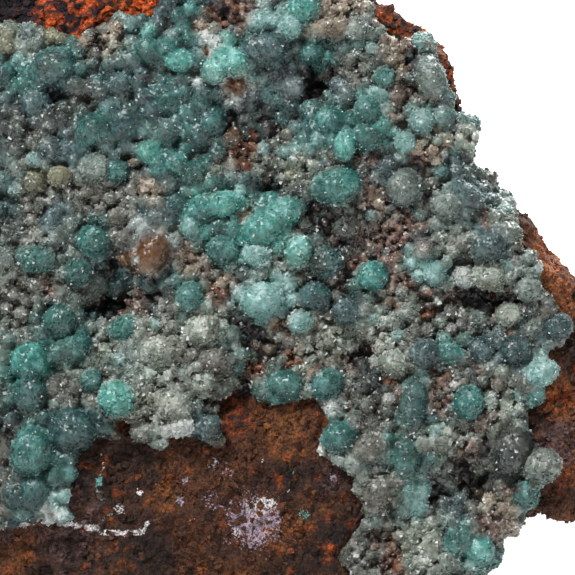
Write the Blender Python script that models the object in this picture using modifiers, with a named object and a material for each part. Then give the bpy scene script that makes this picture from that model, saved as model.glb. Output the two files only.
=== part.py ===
"""Cuproadamite specimen: a blue-green botryoidal crust on a lump of brown limonite rock.

The lump stands on a flat trimmed base at z = 0, with its origin at the middle of that base. Its
display face looks towards -Y and leans back. Places on the display face are read from the
photograph, which looks straight at that face, and are turned into real places by face_point.
"""

import math
import random

import bmesh
import bpy
from mathutils import Matrix, Vector, noise
from mathutils.bvhtree import BVHTree

# Driving dimensions, in metres.
MM = 0.001
PIXEL = 0.12 * MM               # real size on the display face of one pixel of the photograph
PICTURE_CENTRE = 287.5          # middle of the photograph, in pixels, both ways
FACE_LEAN = math.radians(20.0)  # the display face leans back this far from upright
FACE_MIDDLE = Vector((10.8 * MM, -9.0 * MM, 43.2 * MM))  # what the photograph's centre shows
FACE_FOOT = Vector((FACE_MIDDLE.x, FACE_MIDDLE.y, 0.0))

ROCK_DEPTH = 80 * MM            # how far the outline is pushed back before the back is broken off
WELD = 0.02 * MM                # points closer than this are one point
ROCK_VOXEL = 1.0 * MM
ROCK_TRIANGLES = 2700
ROCK_COLOUR = (0.16, 0.065, 0.028)
ROCK_ROUGHNESS = 0.85
CRUST_COLOUR = (0.17, 0.42, 0.38)
CRUST_ROUGHNESS = 0.45
CRUST_THICKNESS = 1.5 * MM
CRUST_TAPER = 1.2 * MM          # the crust thins out over this width at its edge
CRUST_SINK = 1.4 * MM           # past its edge the crust's skin runs this far under the rock's
CRUST_VOXEL = 0.6 * MM
SKIN_TRIANGLES = 3600           # of the crust's skin before the balls are joined to it
CRUST_TRIANGLES = 7800          # of the joined crust before the rock is cut from it
CRUST_FOOT = 0.8 * MM           # the crust ends this far above the surface that the lump rests on
GAP = 0.3 * MM                  # between the crust and the rock under it
SHARPEST_PUSH = 2.5             # at a sharp edge the gap's corner is up to so many gaps away

# Directions of the display face: along it upwards, and out of it towards the viewer.
FACE_UP = Vector((0.0, math.sin(FACE_LEAN), math.cos(FACE_LEAN)))
FACE_OUT = Vector((0.0, -math.cos(FACE_LEAN), math.sin(FACE_LEAN)))

# Outline of the rock on the display face, in pixels of the photograph, clockwise from the left.
# Past the photograph's edges it goes on as such a lump would.
ROCK_OUTLINE = [
    (-142, 300), (-139, 200), (-130, 105), (-116, 10), (-86, -44), (-24, -68), (60, -74),
    (140, -64), (215, -71), (280, -60), (334, -36), (386, 0), (406, 17), (421, 28), (434, 44),
    (450, 60), (453, 87), (456, 112), (448, 150), (464, 182), (478, 204), (494, 222), (514, 226),
    (534, 246), (543, 262), (573, 277), (596, 304), (613, 345), (620, 390), (612, 440),
    (594, 486), (572, 511), (545, 518), (524, 519), (503, 527), (485, 546), (468, 571), (458, 610),
    (436, 650), (400, 700), (200, 712), (20, 705), (-62, 690), (-98, 620), (-118, 540),
    (-134, 440),
]

# Planes that break off the back and the sides: a point on the plane in millimetres from the foot
# of the display face, and the direction that points away from the rock.
BREAKS = [
    ((0, 36, 40), (0.06, 1.0, 0.05)),
    ((-36, 27, 40), (-0.62, 0.76, 0.12)),
    ((-45, 10, 18), (-0.86, 0.25, -0.36)),
    ((27, 26, 46), (0.66, 0.74, 0.02)),
    ((34, 10, 24), (0.74, 0.34, -0.52)),
    ((-6, 28, 74), (0.10, 0.62, 0.78)),
    ((-36, 19, 75), (-0.50, 0.30, 0.80)),
    ((20, 20, 66), (0.58, 0.42, 0.68)),
    ((4, 34, 12), (0.20, 0.90, -0.38)),
    ((-24, 33, 60), (-0.30, 0.85, 0.42)),
]

# Planes that break off the rims of the display face: a pixel that the plane passes through, its
# depth there in millimetres, and its direction as parts across, up and out of the face.
RIM_BREAKS = [
    ((566, 400), -1.0, (0.62, -0.05, 0.78)),
    ((-84, 300), -0.5, (-0.50, 0.05, 0.87)),
    ((120, -34), -0.5, (-0.05, 0.55, 0.83)),
    ((420, 60), -1.0, (0.40, 0.36, 0.84)),
    ((150, 622), -1.5, (-0.06, -0.42, 0.91)),
    ((-60, 600), -1.0, (-0.45, -0.40, 0.80)),
    ((-70, 10), -1.0, (-0.42, 0.50, 0.76)),
]
BLOCK_SIZE = 11 * MM            # size of the angular blocks on the back and the sides
BLOCK_STEP = 2.4 * MM           # how far one block stands in front of the next at most
BLOCK_TILT = 2.1 * MM           # how far a block's face is out of level over its size
BLOCK_STEP_PATTERN = 3.1        # how quickly the steps and the tilts change from block to block
BLOCK_TILT_PATTERN = 5.3
DIRECTION_SHIFTS = (Vector((0.0, 0.0, 0.0)), Vector((9.3, 1.5, 4.7)), Vector((3.9, 8.2, 6.6)))
SIDE_CHIPS = 22                 # small planes that chip the back and the sides
SIDE_CHIP_DEPTH = (0.8 * MM, 3.6 * MM)
SIDE_CHIP_LEAN = (0.15, 1.1)    # how far the chips face backwards
CHIP_SEED = 21

# Roughness of the broken rock, in layers of noise: size of the pattern, height and shift.
BROAD_ROUGHNESS = (19 * MM, 2.0 * MM, Vector((0.0, 0.0, 0.0)))
LEDGES = (8.5 * MM, 0.8 * MM, Vector((3.0, 1.0, 7.0)))
GRIT = (3.2 * MM, 0.45 * MM, Vector((9.0, 5.0, 2.0)))
LEDGE_SHARPNESS = 0.6           # power that steepens the slopes of the ledges
FACE_SMOOTHNESS = 0.7           # share of the roughness that is missing on the display face
EDGE_ROUNDING_PASSES = 2

# Broad swells and hollows of the display face: pixel, radius and height, both in millimetres.
SWELLS = [
    ((100, 105), 15.0, 2.6), ((255, 22), 9.0, 2.2), ((365, 150), 7.0, 1.6), ((215, 222), 9.0, 1.6),
    ((45, 452), 7.0, 2.0), ((500, 262), 7.0, 1.6), ((170, 375), 8.0, 1.2), ((20, 350), 7.0, 1.4),
    ((415, 440), 8.0, 1.2), ((-70, 240), 12.0, 2.4), ((250, 500), 16.0, 1.0),
    ((316, 86), 3.6, -4.2), ((262, 116), 4.0, -2.4), ((112, 284), 4.0, -4.6),
    ((108, 314), 3.0, -2.6), ((485, 302), 4.4, -3.6), ((470, 484), 3.0, -4.2),
    ((434, 492), 2.6, -2.6), ((4, 206), 4.6, -2.8), ((244, 390), 2.8, -2.6),
    ((358, 354), 3.4, -3.0), ((212, 398), 2.2, -1.8), ((262, 340), 3.2, -1.8),
    ((40, 560), 6.0, -1.6), ((200, 600), 9.0, -1.4), ((545, 330), 3.4, -1.6),
    ((268, 186), 2.6, -2.0), ((52, 104), 2.4, -1.6), ((380, 545), 4.0, -1.8),
]

# Edge of the crust on the display face, in pixels, clockwise from the upper left. Where the crust
# wraps round the side of the rock, the edge runs outside ROCK_OUTLINE.
CRUST_EDGE = [
    (-175, 70), (-110, 38), (-60, 30), (0, 22), (45, 25), (64, 34), (80, 40), (88, 27), (107, 21),
    (119, 10), (150, 20), (163, -10), (170, -45), (182, -100), (322, -100), (350, -40), (372, 4),
    (382, 28), (398, 44), (410, 34), (422, 18), (441, 34), (441, 54), (446, 72), (451, 112),
    (472, 104), (502, 150), (532, 204), (516, 222), (516, 234), (541, 266), (548, 290), (574, 320),
    (576, 345), (552, 357), (548, 392), (531, 407), (533, 438), (554, 452), (556, 472), (531, 508),
    (520, 534), (516, 566), (492, 610), (462, 650), (408, 652), (384, 612), (344, 575), (333, 552),
    (352, 529), (366, 510), (355, 498), (352, 478), (327, 464), (308, 451), (319, 436), (328, 420),
    (310, 399), (275, 408), (262, 426), (266, 400), (247, 396), (232, 388), (217, 402), (222, 434),
    (228, 447), (199, 446), (190, 434), (172, 434), (165, 457), (152, 444), (139, 446), (127, 424),
    (119, 424), (120, 442), (98, 440), (84, 446), (76, 462), (73, 508), (90, 522), (46, 517),
    (25, 523), (0, 527), (-60, 536), (-175, 512),
]
SIGHT_START = 16 * MM           # lines of sight start this far in front of the face
CRUST_BACK = -12 * MM           # the crust wraps round the sides to this depth at most
CRUST_WANDER = 12 * MM          # and its edge stays up to about half of this short of that
CRUST_WANDER_SIZE = 7 * MM
CRUST_UNEVENNESS = (3.0 * MM, 0.5 * MM, Vector((0.0, 0.0, 0.0)))
CRUST_TURNS_BACK = -0.6         # no crust where the rock faces this far away from the viewer

# Balls and ridges of the crust: pixel, length and width in millimetres, turn in degrees
# anticlockwise, and how far the middle stands out of the crust as a share of half the width.
BALLS = [
    ((55, 68), 5.6, 4.4, 20, 0.1), ((36, 104), 3.8, 3.4, 0, 0.1), ((95, 130), 4.4, 3.6, 30, 0.1),
    ((148, 52), 3.0, 2.8, 0, 0.3), ((180, 62), 3.2, 2.6, 0, 0.2), ((120, 85), 2.8, 2.6, 0, 0.2),
    ((150, 153), 3.0, 2.6, 0, 0.2), ((95, 168), 3.4, 3.2, 0, 0.3), ((118, 171), 2.8, 2.6, 0, 0.2),
    ((61, 177), 2.6, 2.4, 0, 0.3), ((36, 182), 2.6, 2.4, 0, 0.2), ((192, 174), 3.2, 2.8, 0, 0.2),
    ((302, 10), 4.2, 3.4, 30, 0.3), ((289, 28), 2.8, 2.8, 0, 0.4), ((262, 50), 5.6, 3.6, 10, 0.1),
    ((230, 62), 4.4, 3.2, -30, 0.4), ((239, 87), 2.6, 2.4, 0, 0.4), ((290, 86), 3.6, 3.4, 0, 0.1),
    ((310, 52), 3.0, 2.8, 0, 0.3), ((330, 122), 3.4, 3.2, 0, 0.4), ((367, 112), 3.0, 3.4, 0, 0.4),
    ((366, 138), 3.4, 3.2, 0, 0.4), ((345, 147), 3.4, 2.4, 90, 0.9), ((336, 186), 5.6, 4.2, 15, 0.5),
    ((404, 188), 4.2, 4.0, 70, 0.5), ((421, 122), 2.8, 2.8, 0, 0.4), ((430, 80), 5.6, 3.6, 110, 0.2),
    ((423, 44), 2.8, 2.6, 0, 0.4), ((384, 78), 2.4, 2.4, 0, 0.3), ((404, 143), 2.4, 2.4, 0, 0.3),
    ((467, 138), 3.2, 2.8, 100, 0.4), ((466, 197), 4.6, 3.0, -35, 0.4), ((447, 206), 3.4, 3.2, 0, 0.4),
    ((482, 178), 2.4, 2.4, 0, 0.4), ((150, 254), 5.6, 4.0, 60, 0.6), ((128, 258), 2.8, 2.6, 0, 0.4),
    ((200, 210), 5.6, 2.8, 25, 0.3), ((222, 204), 4.4, 2.8, 10, 0.3), ((191, 228), 2.4, 2.4, 0, 0.8),
    ((94, 240), 4.0, 3.6, 20, 0.2), ((36, 260), 5.2, 3.0, -8, 0.4), ((78, 272), 3.4, 3.2, 0, 0.4),
    ((116, 282), 5.0, 4.4, 0, -0.3), ((60, 321), 3.8, 3.6, 100, 0.4), ((72, 348), 4.6, 3.0, 20, 0.4),
    ((125, 328), 4.0, 2.8, 25, 0.5), ((31, 362), 4.4, 4.2, 80, 0.4), ((31, 392), 4.2, 3.8, 80, 0.3),
    ((117, 398), 4.1, 4.1, 0, 0.8), ((92, 380), 2.6, 2.6, 0, 0.2), ((72, 430), 5.4, 5.0, 0, 0.2),
    ((33, 450), 5.6, 4.6, 70, 0.5), ((35, 490), 4.4, 3.4, 70, 0.2), ((190, 297), 3.8, 3.0, 80, 0.2),
    ((222, 250), 3.6, 3.4, 0, 0.3), ((262, 228), 4.6, 3.6, 20, 0.4), ((284, 212), 4.4, 3.2, 20, 0.3),
    ((258, 254), 3.4, 3.0, 0, 0.3), ((298, 252), 4.0, 3.0, 70, 0.5), ((325, 262), 4.2, 4.0, 0, 0.2),
    ((346, 228), 3.2, 2.8, 0, 0.1), ((262, 300), 5.0, 3.8, 15, 0.5), ((315, 296), 3.6, 3.2, 0, 0.2),
    ((345, 312), 3.2, 3.0, 0, 0.2), ((372, 276), 3.4, 3.2, 0, 0.5), ((487, 247), 4.4, 3.2, 15, 0.2),
    ((489, 276), 3.8, 3.2, 0, 0.4), ((463, 277), 2.4, 2.4, 0, 0.4), ((508, 315), 3.0, 2.8, 0, 0.4),
    ((528, 290), 3.0, 2.8, 0, 0.3), ((558, 326), 3.4, 3.0, 0, 0.2), ((424, 354), 3.6, 3.4, 0, 0.3),
    ((448, 353), 3.6, 2.2, 0, 0.4), ((515, 350), 3.4, 3.2, 0, 0.4), ((480, 350), 2.8, 2.8, 0, 0.2),
    ((394, 365), 3.4, 3.2, 0, 0.2), ((540, 372), 4.2, 3.0, 20, 0.3), ((286, 384), 4.0, 3.0, 0, 0.3),
    ((327, 385), 3.8, 3.2, 60, 0.3), ((340, 436), 4.2, 3.4, 10, 0.2), ((412, 408), 6.0, 3.0, 80, 0.3),
    ((405, 458), 4.6, 2.8, 90, 0.3), ((417, 506), 3.0, 2.4, 90, 0.3), ((468, 402), 3.8, 3.4, 80, 0.5),
    ((512, 452), 6.0, 4.4, 70, 0.2), ((541, 466), 4.4, 3.8, 20, 0.4), ((457, 542), 3.6, 2.8, 60, 0.3),
    ((478, 550), 3.8, 3.2, 0, 0.4), ((370, 448), 4.6, 3.4, 20, 0.1), ((380, 490), 4.4, 3.2, 30, 0.2),
    ((300, 322), 3.0, 2.6, 0, 0.3), ((160, 352), 4.2, 3.4, 0, 0.2), ((200, 330), 4.0, 3.2, 20, 0.2),
    ((175, 405), 4.4, 3.4, -20, 0.3), ((182, 425), 2.8, 2.4, 0, 0.4), ((212, 360), 3.6, 2.8, 0, 0.2),
    ((210, 428), 3.0, 2.6, 90, 0.1), ((330, 28), 4.4, 2.2, 10, 0.3), ((356, 30), 3.0, 2.8, 0, 0.2),
]
BALL_FULLNESS = 1.04            # the corners of a ball's flat faces stand out this much
BALL_SINK = 0.45                # a ball's centre lies this share of its half width under the skin

# Small lumps between the balls, as scattered over the whole crust.
SMALL_LUMPS = 70
SMALL_LUMP_WIDTH = (2.4 * MM, 4.2 * MM)
SMALL_LUMP_SINK = (0.1, 0.5)    # how deep their middles lie, as a share of half the width
SMALL_LUMP_MARGIN = 0.3         # they stay this share of their width inside the crust's edge
SMALL_LUMP_TURNS_BACK = -0.5
SHOWN_DEPTH = -2 * MM           # the photograph shows the crust down to this depth
LUMP_SEED = 7


def clear_scene():
    """Empty the file, so that the script can be run again."""
    for thing in list(bpy.data.objects):
        bpy.data.objects.remove(thing, do_unlink=True)


def new_collection(name):
    """Return a new collection linked to the scene."""
    collection = bpy.data.collections.new(name)
    bpy.context.scene.collection.children.link(collection)
    return collection


def stone_material(name, colour, roughness):
    """Return a plain stone material."""
    material = bpy.data.materials.new(name)
    material.use_nodes = True
    shader = material.node_tree.nodes["Principled BSDF"]
    shader.inputs["Base Color"].default_value = (*colour, 1.0)
    shader.inputs["Roughness"].default_value = roughness
    shader.inputs["Metallic"].default_value = 0.0
    material.diffuse_color = (*colour, 1.0)
    return material


def dress(thing, material):
    """Give an object one material all over."""
    thing.data.materials.clear()
    thing.data.materials.append(material)


def face_point(pixel, out=0.0):
    """Return the point of the display face seen at a pixel, moved out towards the viewer."""
    across = (pixel[0] - PICTURE_CENTRE) * PIXEL
    up = (PICTURE_CENTRE - pixel[1]) * PIXEL
    return FACE_MIDDLE + Vector((across, 0.0, 0.0)) + up * FACE_UP + out * FACE_OUT


def object_from(name, bm, collection):
    """Turn a bmesh into an object in the collection and free the bmesh."""
    bmesh.ops.recalc_face_normals(bm, faces=bm.faces)
    mesh = bpy.data.meshes.new(name)
    bm.to_mesh(mesh)
    bm.free()
    thing = bpy.data.objects.new(name, mesh)
    collection.objects.link(thing)
    return thing


def apply_modifiers(thing):
    """Replace an object's mesh by its mesh as the modifiers leave it."""
    depsgraph = bpy.context.evaluated_depsgraph_get()
    mesh = bpy.data.meshes.new_from_object(thing.evaluated_get(depsgraph))
    thing.modifiers.clear()
    thing.data = mesh


def remesh(thing, voxel):
    """Rebuild an object as one closed skin of even small faces."""
    modifier = thing.modifiers.new("voxels", "REMESH")
    modifier.mode = "VOXEL"
    modifier.voxel_size = voxel
    apply_modifiers(thing)


def decimate(thing, triangles):
    """Bring an object down to about so many triangles."""
    faces = sum(len(face.vertices) - 2 for face in thing.data.polygons)
    modifier = thing.modifiers.new("fewer faces", "DECIMATE")
    modifier.ratio = triangles / faces
    modifier.use_collapse_triangulate = True
    apply_modifiers(thing)


def cut_flat(bm, point, direction):
    """Cut away what lies past a plane and close the cut with flat faces."""
    everything = bm.verts[:] + bm.edges[:] + bm.faces[:]
    bmesh.ops.bisect_plane(bm, geom=everything, plane_co=point, plane_no=direction, clear_outer=True)
    rim = [edge for edge in bm.edges if edge.is_boundary]
    bmesh.ops.holes_fill(bm, edges=rim, sides=0)


def outline_prism(outline, depth, collection):
    """Return a bmesh of an outline on the display face, extruded straight back through the rock."""
    curve = bpy.data.curves.new("outline", "CURVE")
    curve.dimensions = "2D"
    curve.fill_mode = "BOTH"
    curve.extrude = 0.5 * depth
    line = curve.splines.new("POLY")
    line.points.add(len(outline) - 1)
    line.use_cyclic_u = True
    for point, pixel in zip(line.points, outline):
        across = (pixel[0] - PICTURE_CENTRE) * PIXEL
        up = (PICTURE_CENTRE - pixel[1]) * PIXEL
        point.co = (across, up, 0.0, 1.0)
    sheet = bpy.data.objects.new("outline", curve)
    collection.objects.link(sheet)
    depsgraph = bpy.context.evaluated_depsgraph_get()
    mesh = bpy.data.meshes.new_from_object(sheet.evaluated_get(depsgraph))
    bpy.data.objects.remove(sheet, do_unlink=True)
    bm = bmesh.new()
    bm.from_mesh(mesh)
    bmesh.ops.remove_doubles(bm, verts=bm.verts, dist=WELD)
    bmesh.ops.transform(bm, verts=bm.verts, matrix=face_frame(FACE_MIDDLE - 0.5 * depth * FACE_OUT))
    return bm


def face_frame(place):
    """Return the matrix that turns x, y and z to across, up and out of the face, at a place."""
    axes = Matrix((Vector((1.0, 0.0, 0.0)), FACE_UP, FACE_OUT)).transposed()
    return Matrix.Translation(place) @ axes.to_4x4()


def push_out(thing, distance):
    """Move every face outwards, by moving each vertex along its normal, further at sharp edges."""
    bm = bmesh.new()
    bm.from_mesh(thing.data)
    bm.normal_update()
    for vertex in bm.verts:
        further = min(SHARPEST_PUSH, vertex.calc_shell_factor())
        vertex.co += vertex.normal * distance * further
    bm.to_mesh(thing.data)
    bm.free()


def face_direction(across, up, out):
    """Return a direction given by its parts along and out of the display face."""
    return Vector((across, 0.0, 0.0)) + up * FACE_UP + out * FACE_OUT


def face_place(point):
    """Return a point's places across, up and out of the display face."""
    from_middle = point - FACE_MIDDLE
    return from_middle.x, from_middle.dot(FACE_UP), from_middle.dot(FACE_OUT)


def face_relief(point):
    """Return how far the swells and hollows move a point of the display face out."""
    across, up, _ = face_place(point)
    height = 0.0
    for pixel, radius, rise in SWELLS:
        swell_across = (pixel[0] - PICTURE_CENTRE) * PIXEL
        swell_up = (PICTURE_CENTRE - pixel[1]) * PIXEL
        far = math.hypot(across - swell_across, up - swell_up) / (radius * MM)
        height += rise * MM * math.exp(-far * far)
    return height


def layer_height(point, layer, sharpness=1.0):
    """Return the height of one layer of noise, its slopes steepened by a power under one."""
    size, rise, shift = layer
    value = noise.noise(point / size + shift)
    return math.copysign(abs(value) ** sharpness, value) * rise


def rough_height(point):
    """Return the height of the broken rock's roughness at a point."""
    rounded = layer_height(point, BROAD_ROUGHNESS) + layer_height(point, GRIT)
    return rounded + layer_height(point, LEDGES, LEDGE_SHARPNESS)


def noise_direction(point):
    """Return a vector whose three parts are noise read at three places."""
    return Vector([noise.noise(point + shift) for shift in DIRECTION_SHIFTS])


def block_height(point):
    """Return the height of the angular blocks that the rock's sides broke into."""
    _, nearest = noise.voronoi(point / BLOCK_SIZE)
    tilt = noise_direction(nearest[0] * BLOCK_TILT_PATTERN)
    step = noise.noise(nearest[0] * BLOCK_STEP_PATTERN)
    across_block = (point / BLOCK_SIZE - nearest[0]).dot(tilt)
    return BLOCK_STEP * step + BLOCK_TILT * across_block


def shape_rock_surface(thing):
    """Round the edges, raise the display face's relief and roughen the broken sides."""
    bm = bmesh.new()
    bm.from_mesh(thing.data)
    for _ in range(EDGE_ROUNDING_PASSES):
        bmesh.ops.smooth_vert(bm, verts=bm.verts, factor=0.5, use_axis_x=True, use_axis_y=True,
                              use_axis_z=True)
    bm.normal_update()
    for vertex in bm.verts:
        facing = max(0.0, vertex.normal.dot(FACE_OUT))
        height = rough_height(vertex.co) + block_height(vertex.co)
        moved = vertex.normal * height * (1.0 - FACE_SMOOTHNESS * facing)
        vertex.co += moved + FACE_OUT * face_relief(vertex.co) * facing
    bm.to_mesh(thing.data)
    bm.free()


def chip_sides(bm):
    """Break small pieces off the corners of the back and the sides."""
    draw = random.Random(CHIP_SEED)
    for _ in range(SIDE_CHIPS):
        turn = draw.uniform(0.0, 2.0 * math.pi)
        back = draw.uniform(*SIDE_CHIP_LEAN)
        direction = face_direction(math.cos(turn), math.sin(turn), -back).normalized()
        reach = max(vertex.co.dot(direction) for vertex in bm.verts)
        depth = draw.uniform(*SIDE_CHIP_DEPTH)
        cut_flat(bm, direction * (reach - depth), direction)


def build_rock(collection):
    """Return the rock's fine skin, which the crust is shaped on."""
    bm = outline_prism(ROCK_OUTLINE, ROCK_DEPTH, collection)
    for point, direction in BREAKS:
        cut_flat(bm, FACE_FOOT + Vector(point) * MM, Vector(direction))
    for pixel, depth, parts in RIM_BREAKS:
        cut_flat(bm, face_point(pixel, depth * MM), face_direction(*parts))
    chip_sides(bm)
    rock = object_from("limonite_matrix", bm, collection)
    remesh(rock, ROCK_VOXEL)
    shape_rock_surface(rock)
    return rock


def finish_rock(rock):
    """Bring the rock down to its kept faces and trim its base flat."""
    decimate(rock, ROCK_TRIANGLES)
    trim_below(rock, 0.0)


def trim_below(thing, height):
    """Cut a solid off flat at a height and keep what lies above."""
    bm = bmesh.new()
    bm.from_mesh(thing.data)
    cut_flat(bm, Vector((0.0, 0.0, height)), Vector((0.0, 0.0, -1.0)))
    bmesh.ops.triangulate(bm, faces=bm.faces)
    bm.to_mesh(thing.data)
    bm.free()


def copy_of(thing, name, collection):
    """Return a copy of an object with its own mesh."""
    twin = bpy.data.objects.new(name, thing.data.copy())
    collection.objects.link(twin)
    return twin


def boolean(thing, cutter, operation):
    """Cut or keep a solid by another one."""
    modifier = thing.modifiers.new(operation.lower(), "BOOLEAN")
    modifier.operation = operation
    modifier.object = cutter
    modifier.solver = "EXACT"
    modifier.use_self = True
    apply_modifiers(thing)


def hide_cutter(thing):
    """Mark an object as a cutter."""
    thing.hide_render = True
    thing.display_type = "WIRE"


def add_ball(bm, centre, length, width, turn):
    """Add a ball, stretched along a direction of the display face."""
    stretch = Matrix.Diagonal((0.5 * length, 0.5 * width, 0.5 * width, 1.0))
    spin = Matrix.Rotation(math.radians(turn), 4, "Z")
    place = face_frame(centre) @ spin @ stretch
    bmesh.ops.create_icosphere(bm, subdivisions=2, radius=BALL_FULLNESS, matrix=place)


def skin_tree(thing):
    """Return a search tree of an object's faces."""
    depsgraph = bpy.context.evaluated_depsgraph_get()
    return BVHTree.FromObject(thing, depsgraph)


def skin_point(tree, pixel):
    """Return where the line of sight at a pixel first meets a skin, or None."""
    skin, _, _, _ = tree.ray_cast(face_point(pixel, SIGHT_START), -FACE_OUT)
    return skin


def inside_outline(pixel, outline):
    """Say whether a pixel lies inside a closed outline."""
    inside = False
    last = outline[-1]
    for corner in outline:
        crosses = (corner[1] > pixel[1]) != (last[1] > pixel[1])
        if crosses:
            share = (pixel[1] - corner[1]) / (last[1] - corner[1])
            if pixel[0] < corner[0] + share * (last[0] - corner[0]):
                inside = not inside
        last = corner
    return inside


def distance_to_outline(pixel, outline):
    """Return how many pixels inside a closed outline a pixel lies, below zero if outside."""
    spot = Vector(pixel)
    nearest = math.inf
    last = Vector(outline[-1])
    for corner in outline:
        corner = Vector(corner)
        along = corner - last
        share = min(1.0, max(0.0, (spot - last).dot(along) / along.length_squared))
        nearest = min(nearest, (last + share * along - spot).length)
        last = corner
    return nearest if inside_outline(pixel, outline) else -nearest


def crust_depth_inside(point):
    """Return how far inside the crust's edge a point of the rock's skin lies."""
    across, up, out = face_place(point)
    pixel = (PICTURE_CENTRE + across / PIXEL, PICTURE_CENTRE - up / PIXEL)
    wander = abs(noise.noise(point / CRUST_WANDER_SIZE)) * CRUST_WANDER
    round_the_side = min(1.0, max(0.0, -out / CRUST_WANDER))
    inside_edge = distance_to_outline(pixel, CRUST_EDGE) * PIXEL - wander * round_the_side
    return min(inside_edge, out - CRUST_BACK - wander)


def grow_crust(thing):
    """Raise the rock's skin where the crust covers it, and sink it where the rock is bare."""
    bm = bmesh.new()
    bm.from_mesh(thing.data)
    bm.normal_update()
    for vertex in bm.verts:
        share = 0.0
        if vertex.normal.dot(FACE_OUT) > CRUST_TURNS_BACK:
            share = min(1.0, max(0.0, 0.5 + crust_depth_inside(vertex.co) / CRUST_TAPER))
        thickness = CRUST_THICKNESS + layer_height(vertex.co, CRUST_UNEVENNESS)
        vertex.co += vertex.normal * ((thickness + CRUST_SINK) * share - CRUST_SINK)
    bm.to_mesh(thing.data)
    bm.free()


def add_named_balls(bm, tree):
    """Add the balls and ridges that the photograph shows."""
    for pixel, length, width, turn, stand in BALLS:
        skin = skin_point(tree, pixel)
        if skin is None:
            continue
        rise = (stand - BALL_SINK) * 0.5 * width * MM
        add_ball(bm, skin + FACE_OUT * rise, length * MM, width * MM, turn)


def add_small_lumps(bm, skin):
    """Scatter lumps over the crust outside the photograph, on its wrapped sides too."""
    draw = random.Random(LUMP_SEED)
    lumps = 0
    while lumps < SMALL_LUMPS:
        vertex = skin.vertices[draw.randrange(len(skin.vertices))]
        width = draw.uniform(*SMALL_LUMP_WIDTH)
        sink = draw.uniform(*SMALL_LUMP_SINK)
        across, up, out = face_place(vertex.co)
        shown = max(abs(across), abs(up)) < PICTURE_CENTRE * PIXEL and out > SHOWN_DEPTH
        bare = crust_depth_inside(vertex.co) < SMALL_LUMP_MARGIN * width
        if shown or bare or vertex.normal.dot(FACE_OUT) < SMALL_LUMP_TURNS_BACK:
            continue
        add_ball(bm, vertex.co - vertex.normal * sink * 0.5 * width, width, width, 0.0)
        lumps += 1


def keep_largest_body(thing):
    """Delete the crumbs that a cut leaves beside the main body."""
    bm = bmesh.new()
    bm.from_mesh(thing.data)
    left = set(bm.faces)
    bodies = []
    while left:
        body = connected_faces(next(iter(left)))
        left -= body
        bodies.append(body)
    bodies.sort(key=len)
    for crumb in bodies[:-1]:
        bmesh.ops.delete(bm, geom=list(crumb), context="FACES")
    bm.to_mesh(thing.data)
    bm.free()


def connected_faces(first):
    """Return the set of faces joined to one by shared edges."""
    body = {first}
    edge_of_search = [first]
    while edge_of_search:
        face = edge_of_search.pop()
        for edge in face.edges:
            for neighbour in edge.link_faces:
                if neighbour not in body:
                    body.add(neighbour)
                    edge_of_search.append(neighbour)
    return body


def build_crust(fine_rock, rock, collection, cutters):
    """Return the crust, grown on the fine rock and fitted over the finished one."""
    crust = copy_of(fine_rock, "adamite_crust", collection)
    remesh(crust, CRUST_VOXEL)
    grow_crust(crust)
    bm = bmesh.new()
    add_named_balls(bm, skin_tree(crust))
    add_small_lumps(bm, crust.data)
    balls = object_from("crust_balls", bm, cutters)
    decimate(crust, SKIN_TRIANGLES)
    boolean(crust, balls, "UNION")
    decimate(crust, CRUST_TRIANGLES)
    trim_below(crust, CRUST_FOOT)
    bed = copy_of(rock, "crust_bed", cutters)
    push_out(bed, GAP)
    boolean(crust, bed, "DIFFERENCE")
    keep_largest_body(crust)
    hide_cutter(balls)
    hide_cutter(bed)
    return crust


def main():
    """Model the specimen."""
    clear_scene()
    parts = new_collection("cuproadamite_specimen")
    cutters = new_collection("cutters")
    rock = build_rock(parts)
    fine_rock = copy_of(rock, "fine_rock", cutters)
    hide_cutter(fine_rock)
    finish_rock(rock)
    crust = build_crust(fine_rock, rock, parts, cutters)
    dress(rock, stone_material("rusty_limonite", ROCK_COLOUR, ROCK_ROUGHNESS))
    dress(crust, stone_material("blue_green_adamite", CRUST_COLOUR, CRUST_ROUGHNESS))


main()
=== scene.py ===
"""Looks of a cuproadamite specimen: drusy blue-green balls and pale sugary crystals on rusty rock.

Places on the display face are given in pixels of the photograph, which is 575 pixels across and
down. The Face class turns them into places in metres on the leaning face of the lump.
"""

import logging
import math
from collections import defaultdict
from dataclasses import dataclass
from enum import Enum
from typing import ClassVar, Iterable, NamedTuple

import bmesh
import bpy
import numpy as np
from mathutils import Matrix, Vector, noise
from mathutils.bvhtree import BVHTree
from mathutils.kdtree import KDTree


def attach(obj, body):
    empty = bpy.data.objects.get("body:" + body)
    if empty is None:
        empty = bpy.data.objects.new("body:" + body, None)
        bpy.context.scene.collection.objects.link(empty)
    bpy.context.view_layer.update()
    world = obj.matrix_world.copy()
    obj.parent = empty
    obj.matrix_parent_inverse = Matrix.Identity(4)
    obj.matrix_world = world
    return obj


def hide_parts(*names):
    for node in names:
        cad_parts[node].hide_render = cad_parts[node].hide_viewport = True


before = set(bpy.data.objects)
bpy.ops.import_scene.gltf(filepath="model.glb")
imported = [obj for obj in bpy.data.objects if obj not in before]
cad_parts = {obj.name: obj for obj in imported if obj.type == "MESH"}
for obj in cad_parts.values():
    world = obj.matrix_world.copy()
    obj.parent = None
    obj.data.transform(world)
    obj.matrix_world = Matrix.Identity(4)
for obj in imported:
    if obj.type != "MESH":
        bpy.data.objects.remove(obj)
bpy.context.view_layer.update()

MM = 0.001
TINT = "tint"
DUST = "dust"
WELD = 0.002 * MM
CHART_MARGIN = 0.01
LOG = logging.getLogger("cuproadamite")

Array = np.ndarray
Colour = tuple[int, int, int]


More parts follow.
